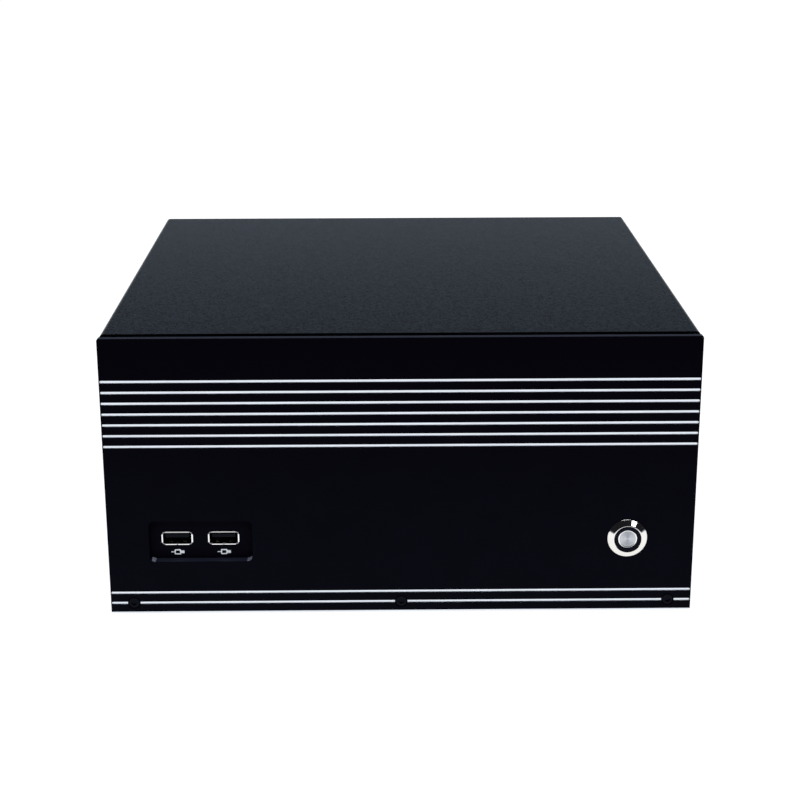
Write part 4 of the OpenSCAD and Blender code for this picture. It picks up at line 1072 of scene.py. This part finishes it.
net_low, net_high = node_box("network_port")
net_x, net_z = (net_low.x + net_high.x) / 2, net_low.z
jack = bmesh.new()
brick(jack, net_low, net_high)
hollow = bmesh.new()
brick(hollow, (net_x - 6, net_high.y - 12, net_z + 4), (net_x + 6, net_high.y + 1, net_z + 11.5), 1)
latch_well = bmesh.new()
brick(latch_well, (net_x - 3, net_high.y - 12, net_z + 1.5), (net_x + 3, net_high.y + 1, net_z + 4.5), 1)
jack_mats = ["nickel", "tongue", "gold", "green_lamp", "amber_lamp"]
jack = carve(carve(jack, hollow, jack_mats), latch_well, jack_mats)
for i in range(8):
    x = net_x - 3.57 + i * 1.02
    rings = []
    for depth, rise in ((11.9, 8.4), (8, 8.9), (3, 11.3)):
        z = net_z + rise
        wire = [(x - 0.2, z), (x + 0.2, z), (x + 0.2, z + 0.25), (x - 0.2, z + 0.25)]
        rings.append(along_y(wire, net_high.y - depth))
    loft(jack, rings, 2)
for s, mat in ((-1, 3), (1, 4)):
    x = net_x + s * 5.4
    brick(jack, (x - 1.5, net_high.y - 2, net_z + 1.4), (x + 1.5, net_high.y, net_z + 2.9), mat)
piece("network_jack", jack, jack_mats, "network_port")

jack_low, jack_high = node_box("audio_jacks")
audio_x = (jack_low.x + jack_high.x) / 2
block = bmesh.new()
bores = bmesh.new()
brick(block, jack_low, jack_high - Vector((0, 2, 0)), 0, 0.4)
audio_zs = [board_top + 6 + 11.5 * i for i in range(3)]
for z in audio_zs:
    lathe(bores, [(0, 0), (1.8, 0), (1.8, 20), (0, 20)], (audio_x, jack_high.y - 15, z), 32)
audio_mats = ["plastic", "lime", "sky", "pink", "polished"]
block = carve(block, bores, audio_mats)
for i, z in enumerate(audio_zs):
    collar = [(1.8, 0), (4, 0), (4, 1.75), (3.8, 1.98), (2.3, 1.98), (1.8, 1.6)]
    lathe(block, collar, (audio_x, jack_high.y - 2.01, z), 40, mat=1 + i, closed=True)
piece("audio_block", block, audio_mats, "audio_jacks")


# ---------- mains switch and drive

inlet_high = node_box("mains_inlet")[1]
well_low, well_high = node_box("mains_rocker")
rocker_z = (well_low.z + well_high.z) / 2
ROCKER_TILT = math.radians(9)
rocker_mid = Vector((psu_mid, inlet_high.y - 2.4, rocker_z))


def rocker_point(x, y, z):
    """A point of the untilted rocker, turned about its pin."""
    turn, lean = math.cos(ROCKER_TILT), math.sin(ROCKER_TILT)
    return rocker_mid + Vector((x * turn - y * lean, x * lean + y * turn, z))


rocker = bmesh.new()
ROCKER_OUTLINE = [
    (-6.4, 3.1), (-6.15, 3.35), (-5.9, 3.32), (0, 2.4), (5.9, 3.32), (6.15, 3.35), (6.4, 3.1), (6.4, 1.2),
    (2, -2), (-2, -2), (-6.4, 1.2),
]
loft(rocker, [[rocker_point(x, y, z) for x, y in ROCKER_OUTLINE] for z in (-5.2, 5.2)])
rod(rocker, rocker_point(0, 0, -6.5), rocker_point(0, 0, 6.5), 0.8)
slope = Vector((5.9, 0.92, 0)).normalized()


def on_face(side, u, v, lift):
    """A point on one half of the rocker's face, u along it and v up it, lifted off it."""
    along = slope * u
    x, y = along.x + -slope.y * lift, 2.4 + along.y + slope.x * lift
    return rocker_point(side * x, y, v)


bar_mark = [(2.9, -1.6), (3.4, -1.6), (3.4, 1.6), (2.9, 1.6)]
loft(rocker, [[on_face(1, u, v, lift) for u, v in bar_mark] for lift in (-0.03, 0.05)], 1)
ring_rows = []
for radius, lift in ((1.5, -0.03), (1.5, 0.05), (1.05, 0.05), (1.05, -0.03)):
    ring_rows.append([on_face(-1, 3.1 + u, v, lift) for u, v in circle_points(radius, 28)])
loft(rocker, ring_rows, 1, closed=True)
piece("rocker_marked", rocker, ["satin", "ink"], "mains_rocker", body="mains_rocker")

drive = bmesh.new()
drive_size, drive_mid = drive_high - drive_low, (drive_low + drive_high) / 2
drive_rings = []
for z, inset in ((0, 0.3), (0.3, 0), (3.9, 0), (4.0, 0.15), (4.15, 0.15), (4.25, 0), (6.6, 0), (7, 0.4)):
    w, d = drive_size.x - 2 * inset, drive_size.y - 2 * inset
    outline = rounded_outline(drive_mid.x, drive_mid.y, w, d, 2 - inset)
    drive_rings.append([(x, y, drive_low.z + z) for x, y in outline])
loft(drive, drive_rings)
drive_cuts = bmesh.new()
for x in (drive_low.x + 14, drive_low.x + 90.6):
    for y in (drive_low.y + 4, drive_high.y - 4):
        lathe(drive_cuts, [(0, -1), (1.5, -1), (1.5, 3.5), (0, 3.5)], (x, y, drive_low.z), 24, (0, 0, 1))
label = rounded_outline(drive_mid.x - 6, drive_mid.y, 74, 56, 2)
loft(drive_cuts, [[(x, y, drive_low.z + z) for x, y in label] for z in (6.92, 8)], 1)
drive_mats = ["black_fins", "label"]
drive = carve(drive, drive_cuts, drive_mats)
piece("drive_with_label", drive, drive_mats, "solid_state_drive")


# ---------- CAD nodes that keep their shape

FINISH = {
    "cover": "top_cover",
    "screw_black": "cover_screws",
    "chassis": "chassis_tray slot_covers",
    "rubber": "rubber_feet",
    "zinc": "foot_screws rear_wall_screws io_shield power_button_spring power_button_nut "
            "board_and_drive_screws rear_fan_screws",
    "plastic": "power_button_base cpu_fan_frame psu_fan_frame rear_fan_frame memory_sockets card_socket "
               "power_sockets data_sockets mains_inlet",
    "gold": "front_usb_contacts",
    "green_board": "front_usb_board",
    "galvanised": "usb_board_bracket psu_case drive_bracket",
    "brass": "board_standoffs mains_pins",
    "aluminium": "processor heatsink",
    "natural": "memory_latch_left memory_latch_right",
    "ferrite": "chokes",
    "black_fins": "board_heatsinks",
    "polished": "clock_battery",
    "nickel": "video_ports",
}
for finish, nodes in FINISH.items():
    for node in nodes.split():
        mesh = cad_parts[node].data
        mesh.materials.clear()
        mesh.materials.append(M[finish])


# ---------- studio

floor_mesh = bmesh.new()
bmesh.ops.create_grid(floor_mesh, x_segments=1, y_segments=1, size=30)
floor_finish = Surface("studio_floor", (0.16, 0.16, 0.16), 0.9, gloss=0.1)
floor_finish.shader.inputs["Emission Color"].default_value = (1, 1, 1, 1)
floor_finish.shader.inputs["Emission Strength"].default_value = 0.995
M["floor"] = floor_finish.mat
floor = object_from("studio_floor", floor_mesh, ["floor"])

# Pale where the camera sees past the floor; in reflections a pale band above a dark room, as in a studio.
PALE_BAND, DARK_ROOM = (0.325, 0.370, 0.435), (0.012, 0.012, 0.015)
BAND_TOP, DARK_FROM = 0.015, 0.07
world = bpy.data.worlds.new("studio")
scene.world = world
world.use_nodes = True
sky = world.node_tree
place = add_node(sky, "TexCoord").outputs["Generated"]
axes = add_node(sky, "SeparateXYZ", {"Vector": place}).outputs
# The band is taller behind the object than in front of it.
behind = calculated(sky, "MAXIMUM", axes["Y"], 0)
height = calculated(sky, "MULTIPLY_ADD", behind, -0.2, axes["Z"])
glow = ramp_colour(sky, height, PALE_BAND, DARK_ROOM, BAND_TOP, DARK_FROM)
seen = add_node(sky, "LightPath").outputs["Is Camera Ray"]
mix = add_node(sky, "Mix", {"Factor": seen, "A": glow}, {"B": (1.05, 1.05, 1.05, 1)}, data_type="RGBA")
sky.links.new(mix.outputs["Result"], sky.nodes["Background"].inputs["Color"])


def area_light(name, place, target, size, power, colour=(1, 1, 1)):
    """Soft light of size metres and power watts, out of the camera's sight."""
    light = bpy.data.lights.new(name, "AREA")
    light.shape = "RECTANGLE"
    light.size, light.size_y = size
    light.energy = power
    light.color = colour
    obj = placed(name, light)
    obj.location = place
    obj.rotation_euler = (Vector(target) - Vector(place)).to_track_quat("-Z", "Y").to_euler()
    obj.visible_camera = False
    return obj


area_light("overhead_softbox", (0.0, 0.25, 2.2), (0, 0, 0), (1.9, 1.9), 34, (0.97, 0.985, 1.0))
area_light("front_strip", (-0.05, -1.15, 2.3), (0, -0.13, 0.04), (1.3, 0.3), 3.5, (0.97, 0.985, 1.0))
front_fill = area_light("front_fill", (0.0, -1.7, 1.9), (0, -0.13, 0.06), (1.8, 0.8), 26, (0.9, 0.95, 1.0))
front_fill.visible_glossy = False
area_light("window", (1.09, -1.52, 1.19), (0.1, -0.13, 0.04), (0.5, 0.36), 3)

# Camera fitted to the panel's corners and the cover's edges.
CAMERA_PLACE = Vector((-0.008325, -0.84398, 0.332467))
CAMERA_PITCH = math.radians(17.551)
CAMERA_YAW = math.radians(0.639)
CAMERA_ROLL = math.radians(-0.133)
camera_data = bpy.data.cameras.new("camera")
camera_data.sensor_width = 36
camera_data.lens = 76.816
camera_data.clip_start = 0.01
camera_data.clip_end = 100
camera = placed("camera", camera_data)
ahead = math.cos(CAMERA_PITCH)
forward = Vector((math.sin(CAMERA_YAW) * ahead, math.cos(CAMERA_YAW) * ahead, -math.sin(CAMERA_PITCH)))
level = forward.cross(Vector((0, 0, 1))).normalized()
upright = level.cross(forward)
right = level * math.cos(CAMERA_ROLL) + upright * math.sin(CAMERA_ROLL)
up = upright * math.cos(CAMERA_ROLL) - level * math.sin(CAMERA_ROLL)
camera.matrix_world = Matrix.Translation(CAMERA_PLACE) @ Matrix((right, up, -forward)).transposed().to_4x4()
scene.camera = camera
scene.view_settings.view_transform = "Standard"
